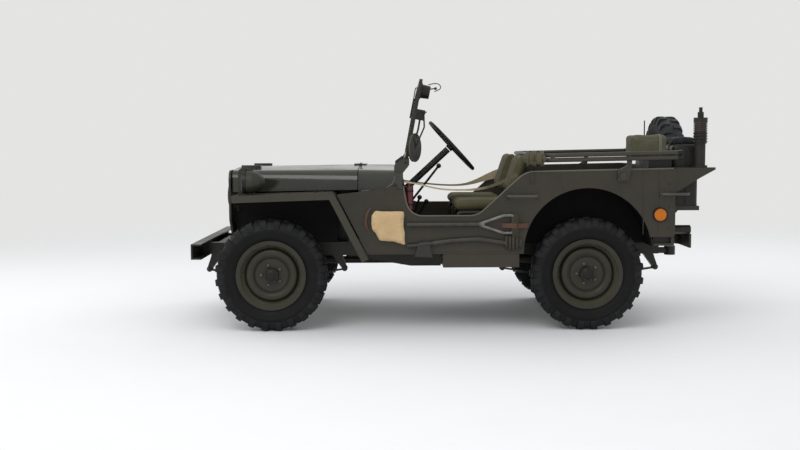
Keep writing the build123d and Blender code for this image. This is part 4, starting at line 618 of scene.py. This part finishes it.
nut_turns = [step * 2 * pi / 5 for step in range(5)]
nuts = bolts([(0.066 * cos(a), 0.025, 0.066 * sin(a)) for a in nut_turns], FACE_Y, 0.021, 0.015)
cap_profile = (
    (0.0, 0.066), (0.018, 0.0655), (0.030, 0.062), (0.0345, 0.058), (0.0345, 0.0575), (0.0, 0.0575),
)
hub_cap = spun(cap_profile, 32)
cap_turns = [step * pi / 3 for step in range(6)]
cap_ring = [(0.0395 * cos(a), 0.059, 0.0395 * sin(a)) for a in cap_turns]
cap_bolts = bolts(cap_ring, FACE_Y, 0.011, 0.006)
valve = tube(((0.186, 0.010, 0.0), (0.184, 0.028, 0.0), (0.182, 0.042, 0.0)), 0.0035)
groove_profile = (
    (0.1155, 0.0225), (0.1175, 0.0262), (0.1200, 0.0285), (0.1225, 0.0300), (0.1190, 0.0300),
    (0.1140, 0.0240),
)
groove = spun(groove_profile, 64, closed=True)
corners = (
    ("front_left", FRONT_AXLE_X, 1),
    ("front_right", FRONT_AXLE_X, -1),
    ("rear_left", REAR_AXLE_X, 1),
    ("rear_right", REAR_AXLE_X, -1),
)
for corner, axle_x, side in corners:
    hub = ((axle_x, side * WHEEL_Y, AXLE_Z), (0, 0, 0 if side > 0 else pi))
    body = f"wheel_{corner}"
    road_tyre = copied(tyre, *hub)
    settle(road_tyre, f"bar_tread_{corner}", body, tyre_rubber, 32)
    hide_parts(f"tyre_{corner}")
    settle(copied(nuts, *hub), f"wheel_nuts_{corner}", body, edge_paint)
    capped = joined([copied(hub_cap, *hub), copied(valve, *hub), copied(groove, *hub)])
    settle(capped, f"hub_cap_{corner}", body, ring_paint)
    settle(copied(cap_bolts, *hub), f"hub_bolts_{corner}", body, wheel_paint)
spare_tyre = copied(tyre, SPARE_PLACE, SPARE_FACING)
settle(spare_tyre, "bar_tread_spare", "chassis", spare_rubber, 32)
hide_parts("tyre_spare")
spare_nuts = copied(nuts, SPARE_PLACE, SPARE_FACING)
settle(spare_nuts, "spare_nuts", "chassis", bare_steel)
for form in (tyre, nuts, hub_cap, cap_bolts, valve, groove):
    bpy.data.objects.remove(form)

# Hood and cowl: pressed sheet in a shinier coat.  A small hook on the cowl holds the folded screen
# down and a thin cable is clipped along its left side; the instruments and the pedals, on steel
# stalks, are behind it.
sheen_paint = drab_paint(
    "hood_drab", (0.021, 0.0205, 0.0150), (0.034, 0.0325, 0.025), rough=0.17, dust=0.2, shine=0.5
)
dress(sheen_paint, "hood", "cowl")
hook = [
    tube(((0.603, 0.300, 1.046), (0.603, 0.300, 1.060), (0.603, 0.300, 1.064)), 0.004, smooth=False),
    tube(((0.591, 0.300, 1.064), (0.603, 0.300, 1.066), (0.615, 0.300, 1.064)), 0.004),
]
settle(joined(hook), "screen_hook", "chassis", black_paint)
cable_run = (
    # x, z
    (0.592, 0.942), (0.584, 0.927), (0.545, 0.911), (0.500, 0.906), (0.437, 0.916), (0.392, 0.946),
    (0.374, 1.000),
)
cable_points = []
for x, z in cable_run:
    _, at, outward, _ = nodes["cowl"].closest_point_on_mesh((x, 0.760, z))
    cable_points.append(tuple(at + outward * 0.003))
settle(tube(cable_points, 0.0035), "cowl_cable", "chassis", edge_paint, 60)
dial_profile = (
    (0.0, 0.004), (0.040, 0.004), (0.042, 0.007), (0.046, 0.007), (0.047, 0.000), (0.0, 0.000),
)
dial = spun(dial_profile, 32)
dials = []
for dial_y, scale in ((0.02, 1.0), (0.13, 0.62), (0.20, 0.62), (-0.09, 0.62), (-0.16, 0.62)):
    middle = (0.3215, dial_y, 0.905)
    face = copied(dial, middle, (0, 0, pi / 2))
    only(face)
    bpy.ops.transform.resize(value=(1, scale, scale), center_override=middle)
    dials.append(face)
bpy.data.objects.remove(dial)
settle(joined(dials), "instruments", "chassis", black_paint)
pedals = []
for pedal_y in (0.46, 0.56):
    pedals.append(slab((0.405, pedal_y - 0.032, 0.650), (0.415, pedal_y + 0.032, 0.715), 0.003))
    stalk = ((0.412, pedal_y, 0.675), (0.47, pedal_y, 0.640), (0.520, pedal_y, 0.610))
    pedals.append(tube(stalk, 0.008))
settle(joined(pedals), "pedals", "chassis", black_frame)

# Windscreen: thin frame and two flat panes; the wiper motor's hand lever and wire behind, its arm
# and blade in front.  The round mirror has a brass-coloured rim and a wing nut on its clamp.
DRIVER_Y = 0.345
MIRROR_AT = (0.2446, 0.7025, 1.177)
MIRROR_FACING = (0, 0, radians(65))
screen_paint = drab_paint(
    "screen_drab", (0.014, 0.0125, 0.0095), (0.028, 0.024, 0.018), dust=0.0
)
dress(screen_paint, "windscreen_frame")
dress(glassy("screen_glass", (0.93, 0.96, 0.95), 0.02, 1.0), "windscreen_glass")
wires = {
    # x and z of each wire, in the plane of the driver's middle
    "arm": ((0.214, 1.566), (0.232, 1.574), (0.238, 1.560), (0.252, 1.470), (0.264, 1.395)),
    "blade": ((0.246, 1.500), (0.258, 1.440), (0.272, 1.370)),
    "loop": ((0.150, 1.590), (0.100, 1.604), (0.068, 1.586), (0.066, 1.560), (0.110, 1.545)),
    "lever": ((0.150, 1.560), (0.128, 1.563), (0.104, 1.565)),
}
in_plane = {name: [(x, DRIVER_Y, z) for x, z in run] for name, run in wires.items()}
wiper = [tube(in_plane["arm"], 0.0032), tube(in_plane["blade"], 0.0055)]
settle(joined(wiper), "wiper", "windscreen", black_paint, 60)
knob_profile = ((0.0, -0.010), (0.006, -0.008), (0.010, 0.0), (0.006, 0.008), (0.0, 0.010))
lever = [
    tube(in_plane["loop"], 0.0030),
    tube(in_plane["lever"], 0.004),
    turned(knob_profile, (0.102, DRIVER_Y, 1.565), (0, 0, 0), 16),
]
settle(joined(lever), "wiper_lever", "windscreen", black_paint, 60)
brass = drab_paint("dull_brass", (0.060, 0.048, 0.018), (0.11, 0.09, 0.040), rough=0.4, dust=0.0)
rim_profile = (
    (0.086, -0.003), (0.0905, -0.003), (0.0915, 0.001), (0.0895, 0.004), (0.086, 0.003),
)
mirror_rim = turned(rim_profile, MIRROR_AT, MIRROR_FACING, closed=True)
settle(mirror_rim, "mirror_rim", "windscreen", brass)
glass_profile = ((0.0, 0.0025), (0.084, 0.0020), (0.0865, 0.0), (0.0865, -0.001), (0.0, -0.001))
mirror_finish = glassy("mirror_glass", (0.012, 0.013, 0.013), 0.35)
mirror_glass = turned(glass_profile, MIRROR_AT, MIRROR_FACING)
settle(mirror_glass, "mirror_glass", "windscreen", mirror_finish)
wing_nut = [
    tube(((0.186, 0.690, 1.390), (0.186, 0.702, 1.390)), 0.007, smooth=False),
    tube(((0.172, 0.700, 1.402), (0.186, 0.702, 1.390), (0.200, 0.700, 1.402)), 0.004),
]
settle(joined(wing_nut), "mirror_nut", "windscreen", black_paint, 60)


# Steering wheel: a hard black rim moulded on three steel rods, with the horn button in its hub.
# It stands square to the raked column.
def rubber(name, colour, dusty, rough=0.62):
    """Black rubber with grime in patches."""
    material, tree, shader, place = node_tree(name)
    grime = ramp(tree, noise(tree, place, 14.0, 6.0), 0.4, 0.7)
    now = mixed(tree, worked(tree, "MULTIPLY", grime, 0.5), (*colour, 1), (*dusty, 1))
    finished(tree, shader, now, rough, 0.18)
    bumped(tree, shader, noise(tree, place, 220.0, 2.0), 0.08, 0.001)
    return material


COLUMN_RAKE = radians(42.7)
hard_rubber = rubber("hard_black_rubber", (0.006, 0.0065, 0.006), (0.016, 0.016, 0.014), 0.4)
dress(hard_rubber, "steering_wheel")
button_profile = (
    (0.0, 0.018), (0.008, 0.0165), (0.014, 0.011), (0.016, 0.003), (0.016, -0.002), (0.0, -0.002),
)
column = Vector((-cos(COLUMN_RAKE), 0, sin(COLUMN_RAKE)))
along_column = Vector((0, 1, 0)).rotation_difference(column).to_euler()
button = turned(button_profile, (-0.004, DRIVER_Y, 1.186), along_column, 24)
settle(button, "horn_button", "steering_wheel", black_paint, 60)


# Seats: pads of stuffed and sewn canvas, two on tube frames in front and a bench across the rear.
# Each pad is laced to its frame and bulges a little between its seams.
def canvas(name, colour, worn, weave=520.0, rough=0.9):
    """Heavy woven cotton: warp and weft threads, with faded patches."""
    material, tree, shader, place = node_tree(name)
    patches = ramp(tree, noise(tree, place, 7.0, 6.0), 0.35, 0.7)
    now = mixed(tree, worked(tree, "MULTIPLY", patches, 0.6), (*colour, 1), (*worn, 1))
    threads = []
    for direction in ("X", "Z"):
        thread = tree.nodes.new("ShaderNodeTexWave")
        thread.bands_direction = direction
        thread.inputs["Scale"].default_value = weave / 6.28
        thread.inputs["Distortion"].default_value = 0.6
        tree.links.new(place, thread.inputs["Vector"])
        threads.append(thread.outputs["Fac"])
    weft = worked(tree, "MULTIPLY", *threads)
    now = mixed(tree, worked(tree, "MULTIPLY", weft, 0.25), now, (*worn, 1))
    finished(tree, shader, now, rough, 0.2)
    shader.inputs["Sheen Weight"].default_value = 0.03
    bumped(tree, shader, weft, 0.25, 0.0008)
    return material


def inflated(piece, voxel, pressure, limit):
    """Sewn fabric over a form, blown up a little; no point goes further than the limit."""
    only(piece)
    piece.data.remesh_voxel_size = voxel
    bpy.ops.object.voxel_remesh()
    scene = bpy.context.scene
    scene.frame_set(1)
    rest = [vertex.co.copy() for vertex in piece.data.vertices]
    cloth = piece.modifiers.new("Cloth", "CLOTH")
    cloth.settings.quality = 4
    cloth.settings.use_pressure = True
    cloth.settings.uniform_pressure_force = pressure
    cloth.settings.effector_weights.gravity = 0.0
    cloth.settings.bending_stiffness = 0.3
    for step in range(1, 19):
        scene.frame_set(step)
    bpy.ops.object.modifier_apply(modifier=cloth.name)
    for vertex, start in zip(piece.data.vertices, rest):
        move = vertex.co - start
        if move.length > limit:
            vertex.co = start + move * (limit / move.length)
    scene.frame_set(1)
    smooth = piece.modifiers.new("Smooth", "SMOOTH")
    smooth.factor = 0.5
    smooth.iterations = 4
    bpy.ops.object.modifier_apply(modifier=smooth.name)
    return piece


seat_canvas = canvas("seat_canvas", (0.060, 0.053, 0.025), (0.105, 0.094, 0.052))
BACK_LEAN = -radians(18.7)
cushion = slab((-0.388, -0.205, 0.768), (-0.006, 0.205, 0.824), 0.026)
inflated(cushion, 0.008, 4.0, 0.010)
backrest = slab((-0.058, -0.205, 0.010), (-0.008, 0.205, 0.286), 0.024)
inflated(backrest, 0.008, 4.0, 0.011)
bench = slab((-1.362, -0.420, 0.724), (-1.022, 0.420, 0.796), 0.026)
inflated(bench, 0.011, 4.0, 0.010)
bench_back = slab((-1.364, -0.420, 0.806), (-1.310, 0.420, 1.000), 0.022)
inflated(bench_back, 0.011, 4.0, 0.009)
pads = [(bench, "rear_seat_pad"), (bench_back, "rear_back_pad")]
for side, side_name in SIDES:
    pads.append((copied(cushion, (0, side * DRIVER_Y, 0)), f"seat_pad_{side_name}"))
    leaning = copied(backrest, (-0.352, side * DRIVER_Y, 0.868), (0, BACK_LEAN, 0))
    pads.append((leaning, f"back_pad_{side_name}"))
for pad, pad_name in pads:
    settle(pad, pad_name, "chassis", seat_canvas, 70)
    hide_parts("seat_cushions")
for form in (cushion, backrest):
    bpy.data.objects.remove(form)

# Safety straps: one thin webbing strap hangs across each step-in opening, from the cowl to the
# panel behind the seat, and broadens towards the seat.  The far one is slacker, paler and broader.
def strap(points, across, thickness, shares=None):
    """A flat strap along points; across is its width as a vector, and shares scale it at each point."""
    corners = []
    for point, share in zip(points, shares or [1.0] * len(points)):
        half = Vector(across) * share / 2
        corners += [Vector(point) - half, Vector(point) + half]
    steps = range(0, len(corners) - 2, 2)
    piece = drafted(corners, [], [(n, n + 1, n + 3, n + 2) for n in steps])
    bend = piece.modifiers.new("Bend", "SUBSURF")
    bend.levels = 2
    bend.render_levels = 2
    bend.boundary_smooth = "PRESERVE_CORNERS"
    wall = piece.modifiers.new("Wall", "SOLIDIFY")
    wall.thickness = thickness
    wall.offset = 0.0
    bpy.ops.object.modifier_apply(modifier=bend.name)
    bpy.ops.object.modifier_apply(modifier=wall.name)
    return closed_up(piece)


STRAP_Y = 0.7045
PANEL_Y = 0.73092
cream_web = canvas("cream_webbing", (0.34, 0.28, 0.17), (0.48, 0.41, 0.28))
strap_web, tree, shader, place = node_tree("strap_webbing")
rear_share = faded(tree, axes_of(tree, place)["X"], -0.06, -0.22)
near_cloth = mixed(tree, rear_share, (0.36, 0.30, 0.19, 1), (0.085, 0.066, 0.036, 1))
soiled = ramp(
    tree, noise(tree, place, 60.0, 4.0), 0.3, 0.8, (0.75, 0.75, 0.75, 1), (1.1, 1.1, 1.1, 1)
)
tint = tree.nodes.new("ShaderNodeVectorMath")
tint.operation = "MULTIPLY"
tree.links.new(near_cloth, tint.inputs[0])
tree.links.new(soiled, tint.inputs[1])
finished(tree, shader, tint.outputs[0], 0.9)
near_run = (
    # x, z, width as a share
    (0.318, 0.962, 1.0), (0.225, 0.949, 1.0), (0.140, 0.9225, 1.0), (0.044, 0.908, 1.0),
    (-0.077, 0.907, 1.1), (-0.137, 0.910, 1.4), (-0.222, 0.923, 1.8), (-0.319, 0.964, 2.0),
    (-0.372, 0.990, 2.0),
)
far_run = (
    # x, z, width as a share
    (0.318, 0.915, 1.2), (0.228, 0.900, 1.2), (0.125, 0.888, 1.2), (0.007, 0.877, 1.2),
    (-0.141, 0.874, 1.3), (-0.244, 0.902, 3.0), (-0.347, 0.945, 5.4), (-0.410, 0.962, 6.6),
)
runs = ((1, "left", near_run, strap_web), (-1, "right", far_run, cream_web))
for side, side_name, run, cloth in runs:
    points = [(x, side * STRAP_Y, z) for x, z, _ in run]
    shares = [share for _, _, share in run]
    end_x, end_z, end_share = run[-1]
    points.append((end_x - 0.028, side * PANEL_Y, end_z + 0.008))
    shares.append(end_share)
    belt = strap(points, (0, 0, 0.0105), 0.003, shares)
    settle(belt, f"strap_{side_name}", "chassis", cloth, 60)
    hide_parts("safety_straps")

# Fire extinguisher: a small pump bottle in maroon enamel, with a bent wire handle.  Two steel bands
# clip it to its bracket.
UPRIGHT = (pi / 2, 0, 0)
BOTTLE_X = 0.284
BOTTLE_Y = 0.668
dress(glassy("maroon_enamel", (0.085, 0.009, 0.012), 0.25), "extinguisher")
handle = [(BOTTLE_X, BOTTLE_Y + off, z) for off, z in ((-0.013, 0.958), (0, 0.972), (0.013, 0.958))]
grips = [tube(handle, 0.004)]
band_profile = ((0.0272, -0.006), (0.0285, -0.006), (0.0285, 0.006), (0.0272, 0.006))
for band_z in (0.815, 0.900):
    grips.append(turned(band_profile, (BOTTLE_X, BOTTLE_Y, band_z), UPRIGHT, 32, closed=True))
settle(joined(grips), "extinguisher_bands", "chassis", black_paint, 60)


# Top bows: two steel tubes folded along the body, capped at their ends, with the safety webbing
# wound round their front bend.
def creased(piece, size, depth):
    """Folds and creases pressed into cloth by a cloudy pattern."""
    only(piece)
    cloud = bpy.data.textures.new("creases", "CLOUDS")
    cloud.noise_scale = size
    folds = piece.modifiers.new("Folds", "DISPLACE")
    folds.texture = cloud
    folds.strength = depth
    folds.mid_level = 0.5
    folds.texture_coords = "LOCAL"
    bpy.ops.object.modifier_apply(modifier=folds.name)
    return piece


olive_web = canvas("olive_webbing", (0.060, 0.054, 0.032), (0.125, 0.112, 0.072))
cap_profile = ((0.0, -0.006), (0.012, -0.005), (0.0155, 0.0), (0.0155, 0.026), (0.0, 0.026))
caps = []
for side, _ in SIDES:
    for bow_z in (1.138, 1.108):
        caps.append(turned(cap_profile, (-1.428, side * 0.752, bow_z), TO_FRONT, 20))
settle(joined(caps), "bow_caps", "chassis", black_paint, 40)
wrap = slab((-0.580, 0.590, 1.066), (-0.446, 0.770, 1.142), 0.030)
loops = [creased(inflated(wrap, 0.007, 3.0, 0.010), 0.030, 0.020)]
turns = ((-0.566, 0.016), (-0.541, -0.014), (-0.520, 0.020), (-0.494, -0.010), (-0.470, 0.014))
loop_run = (
    # share of the lean, y, z
    (1.0, 0.776, 1.104), (0.5, 0.760, 1.149), (0.0, 0.680, 1.153), (-1.0, 0.600, 1.146),
    (-1.0, 0.582, 1.104), (-0.5, 0.600, 1.062), (0.0, 0.680, 1.056), (0.5, 0.760, 1.060),
    (1.0, 0.776, 1.104),
)
for x, lean in turns:
    ring = [(x + lean * share, y, z) for share, y, z in loop_run]
    loops.append(strap(ring, (0.013, 0, 0), 0.004))
wrap = settle(joined(loops), "bow_webbing", "chassis", olive_web, 70)

# Tools on the left side: shovel with a worn steel grip and an axe, held by a webbing strap and a
# leather one; the shovel's blade is in a sewn canvas cover.
tool_finish, tree, shader, place = node_tree("tool_drab")
along = axes_of(tree, place)
behind = faded(tree, along["X"], -0.150, -0.170)
at_grip = worked(tree, "MULTIPLY", behind, faded(tree, along["Z"], 0.628, 0.634))
grain = ramp(tree, noise(tree, place, 22.0, 5.0), 0.35, 0.7)
painted = mixed(tree, grain, (0.017, 0.0155, 0.011, 1), (0.036, 0.032, 0.023, 1))
worn_grip = mixed(tree, grain, (0.085, 0.083, 0.074, 1), (0.165, 0.160, 0.145, 1))
ahead = faded(tree, along["X"], 0.130, 0.136)
at_head = worked(tree, "MULTIPLY", ahead, faded(tree, along["Z"], 0.600, 0.590))
painted = mixed(tree, at_head, painted, (0.012, 0.0108, 0.0078, 1))
finished(tree, shader, mixed(tree, at_grip, painted, worn_grip), 0.42)
bumped(tree, shader, noise(tree, place, 160.0, 2.0), 0.12, 0.001)
dress(tool_finish, "pioneer_tools")
butt = tube(((0.214, 0.753, 0.5635), (0.255, 0.753, 0.5590), (0.298, 0.753, 0.5560)), 0.0145)
settle(butt, "axe_butt", "chassis", tool_finish, 60)
leather = canvas(
    "red_leather", (0.070, 0.033, 0.020), (0.115, 0.064, 0.043), weave=90.0, rough=0.6
)
dull_web = canvas("dull_webbing", (0.027, 0.025, 0.0165), (0.056, 0.051, 0.036))
GRIP_X = -0.384
skin = side_y + 0.0015
web_run = (
    # out from the body side, z
    (0.0, 0.762), (0.012, 0.757), (0.028, 0.740), (0.031, 0.690), (0.028, 0.640), (0.012, 0.612),
    (0.0, 0.594),
)
webbing = strap([(GRIP_X, skin + out, z) for out, z in web_run], (0.040, 0, 0), 0.003)
settle(webbing, "grip_webbing", "chassis", dull_web, 60)
belt_run = (
    # x, out from the body side, z
    (-0.300, 0.004, 0.684), (-0.340, 0.028, 0.684), (-0.384, 0.0345, 0.683), (-0.428, 0.020, 0.682),
    (-0.468, 0.001, 0.682),
)
grip_belt = strap([(x, skin + out, z) for x, out, z in belt_run], (0, 0, 0.030), 0.003)
settle(grip_belt, "leather_strap", "chassis", leather, 60)
tie_places = (
    # x, top, foot
    (-0.330, 0.625, 0.530), (-0.352, 0.622, 0.524), (-0.374, 0.618, 0.522), (-0.398, 0.612, 0.526),
    (-0.420, 0.606, 0.532),
)
ties = []
for x, top, foot in tie_places:
    tie_run = (
        (x, skin, top),
        (x, skin + 0.022, top - 0.012),
        (x + 0.004, skin + 0.030, (top + foot) / 2),
        (x, skin + 0.022, foot + 0.012),
        (x, skin, foot),
    )
    ties.append(strap(tie_run, (0.015, 0, 0), 0.0025))
settle(joined(ties), "axe_ties", "chassis", dull_web, 60)

tan_canvas = canvas("tan_canvas", (0.43, 0.295, 0.150), (0.58, 0.44, 0.265))
bag_outline = (
    # x, z
    (0.316, 0.781), (0.306, 0.562), (0.392, 0.580), (0.474, 0.592), (0.525, 0.672), (0.525, 0.752),
    (0.501, 0.781),
)
bag = stamped([(x, side_y + 0.004, z) for x, z in bag_outline], (0, 0.030, 0), 0.010, 2)
creased(inflated(bag, 0.006, 3.0, 0.008), 0.045, 0.010)
settle(bag, "blade_cover", "chassis", tan_canvas, 80)
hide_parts("tool_cover")
cover_run = (
    # x, out from the body side, z
    (0.526, 0.0, 0.800), (0.546, 0.020, 0.778), (0.559, 0.024, 0.738), (0.560, 0.022, 0.700),
    (0.549, 0.010, 0.664), (0.536, 0.0, 0.648),
)
cover_belt = strap([(x, skin + out, z) for x, out, z in cover_run], (0.014, 0, 0), 0.003)
settle(cover_belt, "cover_strap", "chassis", leather, 60)

# Rear load: fuel can with its pressed ribs and webbing strap, and the wireless set in a canvas
# cover with a strap round it, on its stand; a thin rod stands on the cover.
can_paint = drab_paint("can_drab", (0.011, 0.0105, 0.0080), (0.022, 0.0205, 0.0160), dust=0.0)
dress(can_paint, "fuel_can")
can_low, can_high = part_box("fuel_can")
ribs = []
for x in (can_low[0], can_high[0]):
    for first_y, last_y in ((0.31, 0.575), (0.575, 0.31)):
        ribs.append(tube(((x, first_y, 0.80), (x, last_y, 1.13)), 0.006, smooth=False))
ribs.append(tube(((-1.495, 0.6155, 0.800), (-1.495, 0.6155, 1.150)), 0.004, smooth=False))
settle(joined(ribs), "can_ribs", "chassis", can_paint, 60)
can_run = (
    # x, z
    (-1.403, 0.90), (-1.405, 1.195), (-1.440, 1.2365), (-1.495, 1.2385), (-1.560, 1.232),
    (-1.5815, 1.185), (-1.5825, 0.785),
)
can_belt = strap([(x, 0.500, z) for x, z in can_run], (0, 0.030, 0), 0.003)
settle(can_belt, "can_strap", "chassis", olive_web, 60)
dark_net = canvas("dark_net", (0.006, 0.0065, 0.0075), (0.055, 0.058, 0.062))
bundle = slab((-1.595, 0.300, 1.188), (-1.415, 0.585, 1.226), 0.015)
creased(inflated(bundle, 0.009, 2.0, 0.007), 0.035, 0.016)
settle(bundle, "can_net", "chassis", dark_net, 80)

radio_canvas = canvas("radio_canvas", (0.066, 0.064, 0.038), (0.120, 0.115, 0.075))
radio = slab((-1.366, 0.446, 1.103), (-1.143, 0.634, 1.245), 0.009)
creased(inflated(radio, 0.006, 2.5, 0.004), 0.07, 0.006)
settle(radio, "radio_canvas", "chassis", radio_canvas, 80)
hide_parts("radio_cover")
grey_web = canvas("grey_webbing", (0.10, 0.095, 0.075), (0.17, 0.16, 0.13))
radio_run = (
    # y, z
    (0.6415, 1.102), (0.6440, 1.237), (0.634, 1.2535), (0.446, 1.2535), (0.4360, 1.237),
    (0.4385, 1.102),
)
radio_belt = strap([(-1.322, y, z) for y, z in radio_run], (0.020, 0, 0), 0.003)
settle(radio_belt, "radio_strap", "chassis", grey_web, 60)
rod = tube(((-1.243, 0.540, 1.246), (-1.243, 0.540, 1.343)), 0.004, smooth=False)
settle(rod, "radio_rod", "chassis", black_paint, 60)


# Mast base: a painted socket and clamp on its bracket, with a maroon coil spring that lets the mast
# whip, and a ridged rubber insulator below it.
def stacked(profile, count, first_z, rise):
    """Equal rings, one above another round the mast."""
    levels = [first_z + rise * step for step in range(count)]
    return joined([turned(profile, (-1.565, 0.678, z), UPRIGHT, 32, closed=True) for z in levels])


mast_rubber = rubber("mast_black", (0.019, 0.018, 0.0145), (0.038, 0.036, 0.031), 0.5)
dress(mast_rubber, "mast_base")
coil_profile = (
    (0.0355, -0.0045), (0.0420, -0.0040), (0.0435, 0.0), (0.0420, 0.0040), (0.0355, 0.0045),
)
maroon = glassy("maroon_paint", (0.026, 0.010, 0.009), 0.5)
mast_spring = stacked(coil_profile, 5, 1.276, 0.0118)
settle(mast_spring, "mast_spring", "chassis", maroon, 60)
ridge_profile = ((0.0395, -0.006), (0.0455, -0.002), (0.0455, 0.002), (0.0395, 0.006))
mast_insulator = stacked(ridge_profile, 4, 1.205, 0.018)
settle(mast_insulator, "mast_insulator", "chassis", black_paint, 60)

# Reflectors and tail lamps: faceted amber plastic in a black pressed rim on each side, and small
# red glasses held in the rear lamps.
amber, tree, shader, place = node_tree("amber_lens")
facets = tree.nodes.new("ShaderNodeTexVoronoi")
facets.inputs["Scale"].default_value = 190.0
tree.links.new(place, facets.inputs["Vector"])
glow = ramp(tree, facets.outputs["Distance"], 0.1, 0.7)
amber_tone = mixed(tree, glow, (0.34, 0.085, 0.0, 1), (0.48, 0.130, 0.0, 1))
finished(tree, shader, amber_tone, 0.35, 0.3)
bumped(tree, shader, facets.outputs["Distance"], 0.25, 0.001)
dress(amber, "reflectors")
rim_profile = (
    (0.0405, 0.0), (0.0460, 0.0), (0.0460, 0.009), (0.0430, 0.0135), (0.0385, 0.0135),
    (0.0385, 0.0125),
)
tail_profile = ((0.0, 0.004), (0.012, 0.0032), (0.018, 0.0), (0.018, -0.002), (0.0, -0.002))
rims = []
lenses = []
for side, _ in SIDES:
    outwards = (0, 0, 0 if side > 0 else pi)
    rims.append(turned(rim_profile, (-1.303, side * side_y, 0.746), outwards, closed=True))
    lenses.append(turned(tail_profile, (-1.5215, side * 0.640, 0.643), (0, 0, pi / 2), 24))
settle(joined(rims), "reflector_rims", "chassis", black_paint, 40)
red_glass = glassy("red_glass", (0.20, 0.006, 0.006), 0.15)
settle(joined(lenses), "tail_lenses", "chassis", red_glass, 60)

# Ground: a pale studio floor of smooth paint, faintly clouded.  It takes the car's shadow and fades
# into the backdrop.
clear()
bpy.ops.mesh.primitive_plane_add(size=60.0)
ground = bpy.context.object
ground.name = "ground"
ground_finish, tree, shader, place = node_tree("pale_floor")
cloudy = mixed(tree, noise(tree, place, 3.0), (0.74, 0.74, 0.735, 1), (0.765, 0.765, 0.76, 1))
finished(tree, shader, cloudy, 0.9, 0.1)
reach = tree.nodes.new("ShaderNodeVectorMath")
reach.operation = "LENGTH"
tree.links.new(place, reach.inputs[0])
clear_end = tree.nodes.new("ShaderNodeBsdfTransparent")
fade = tree.nodes.new("ShaderNodeMixShader")
tree.links.new(faded(tree, reach.outputs["Value"], 3.2, 9.0), fade.inputs["Fac"])
tree.links.new(shader.outputs[0], fade.inputs[1])
tree.links.new(clear_end.outputs[0], fade.inputs[2])
tree.links.new(fade.outputs[0], tree.nodes["Material Output"].inputs["Surface"])
ground.data.materials.append(ground_finish)

# Light: a soft white room all round, a broad key lamp high on the left side, a fill in front and a
# weak one behind.
world = bpy.data.worlds.new("studio_sky")
bpy.context.scene.world = world
world.use_nodes = True
sky = world.node_tree
backdrop = sky.nodes["Background"]
backdrop.inputs["Color"].default_value = (0.775, 0.775, 0.770, 1)
backdrop.inputs["Strength"].default_value = 1.0
ambient = sky.nodes.new("ShaderNodeBackground")
ambient.inputs["Color"].default_value = (0.95, 0.97, 1.0, 1)
ambient.inputs["Strength"].default_value = 1.0
seen = sky.nodes.new("ShaderNodeLightPath")
shown = seen.outputs["Is Camera Ray"]
for kind in ("Is Glossy Ray", "Is Transmission Ray"):
    shown = worked(sky, "MAXIMUM", shown, seen.outputs[kind])
pick = sky.nodes.new("ShaderNodeMixShader")
sky.links.new(shown, pick.inputs["Fac"])
sky.links.new(ambient.outputs[0], pick.inputs[1])
sky.links.new(backdrop.outputs[0], pick.inputs[2])
sky.links.new(pick.outputs[0], sky.nodes["World Output"].inputs["Surface"])

lamps = (
    # name, place, aim, width, power in watts
    ("key", (2.5, 5.0, 5.5), (0.0, 0.0, 0.6), 4.0, 150.0),
    ("fill", (6.0, -1.0, 3.0), (0.5, 0.0, 0.7), 3.0, 60.0),
    ("back", (-4.5, -4.0, 4.5), (0.0, 0.0, 0.8), 3.5, 60.0),
)
for name, at, aim, width, power in lamps:
    lamp = bpy.data.lights.new(name, "AREA")
    lamp.size = width
    lamp.energy = power
    holder = bpy.data.objects.new(name, lamp)
    holder.location = at
    holder.rotation_euler = (Vector(aim) - Vector(at)).to_track_quat("-Z", "Y").to_euler()
    bpy.context.collection.objects.link(holder)

# Camera: level with a standing person's chest, square on to the left side and held a little askew.
# Its place and lens come from the wheelbase and the tyres.
eye = bpy.data.cameras.new("camera")
eye.lens = 45.15
eye.sensor_width = 36.0
camera = bpy.data.objects.new("camera", eye)
PITCH = radians(90 - 4.81)
ROLL = radians(-0.3)
aim = Matrix.Rotation(pi, 4, "Z") @ Matrix.Rotation(PITCH, 4, "X") @ Matrix.Rotation(ROLL, 4, "Z")
camera.matrix_world = Matrix.Translation((0.343, 7.067, 1.222)) @ aim
bpy.context.collection.objects.link(camera)
bpy.context.scene.camera = camera
bpy.context.scene.view_settings.view_transform = "Standard"
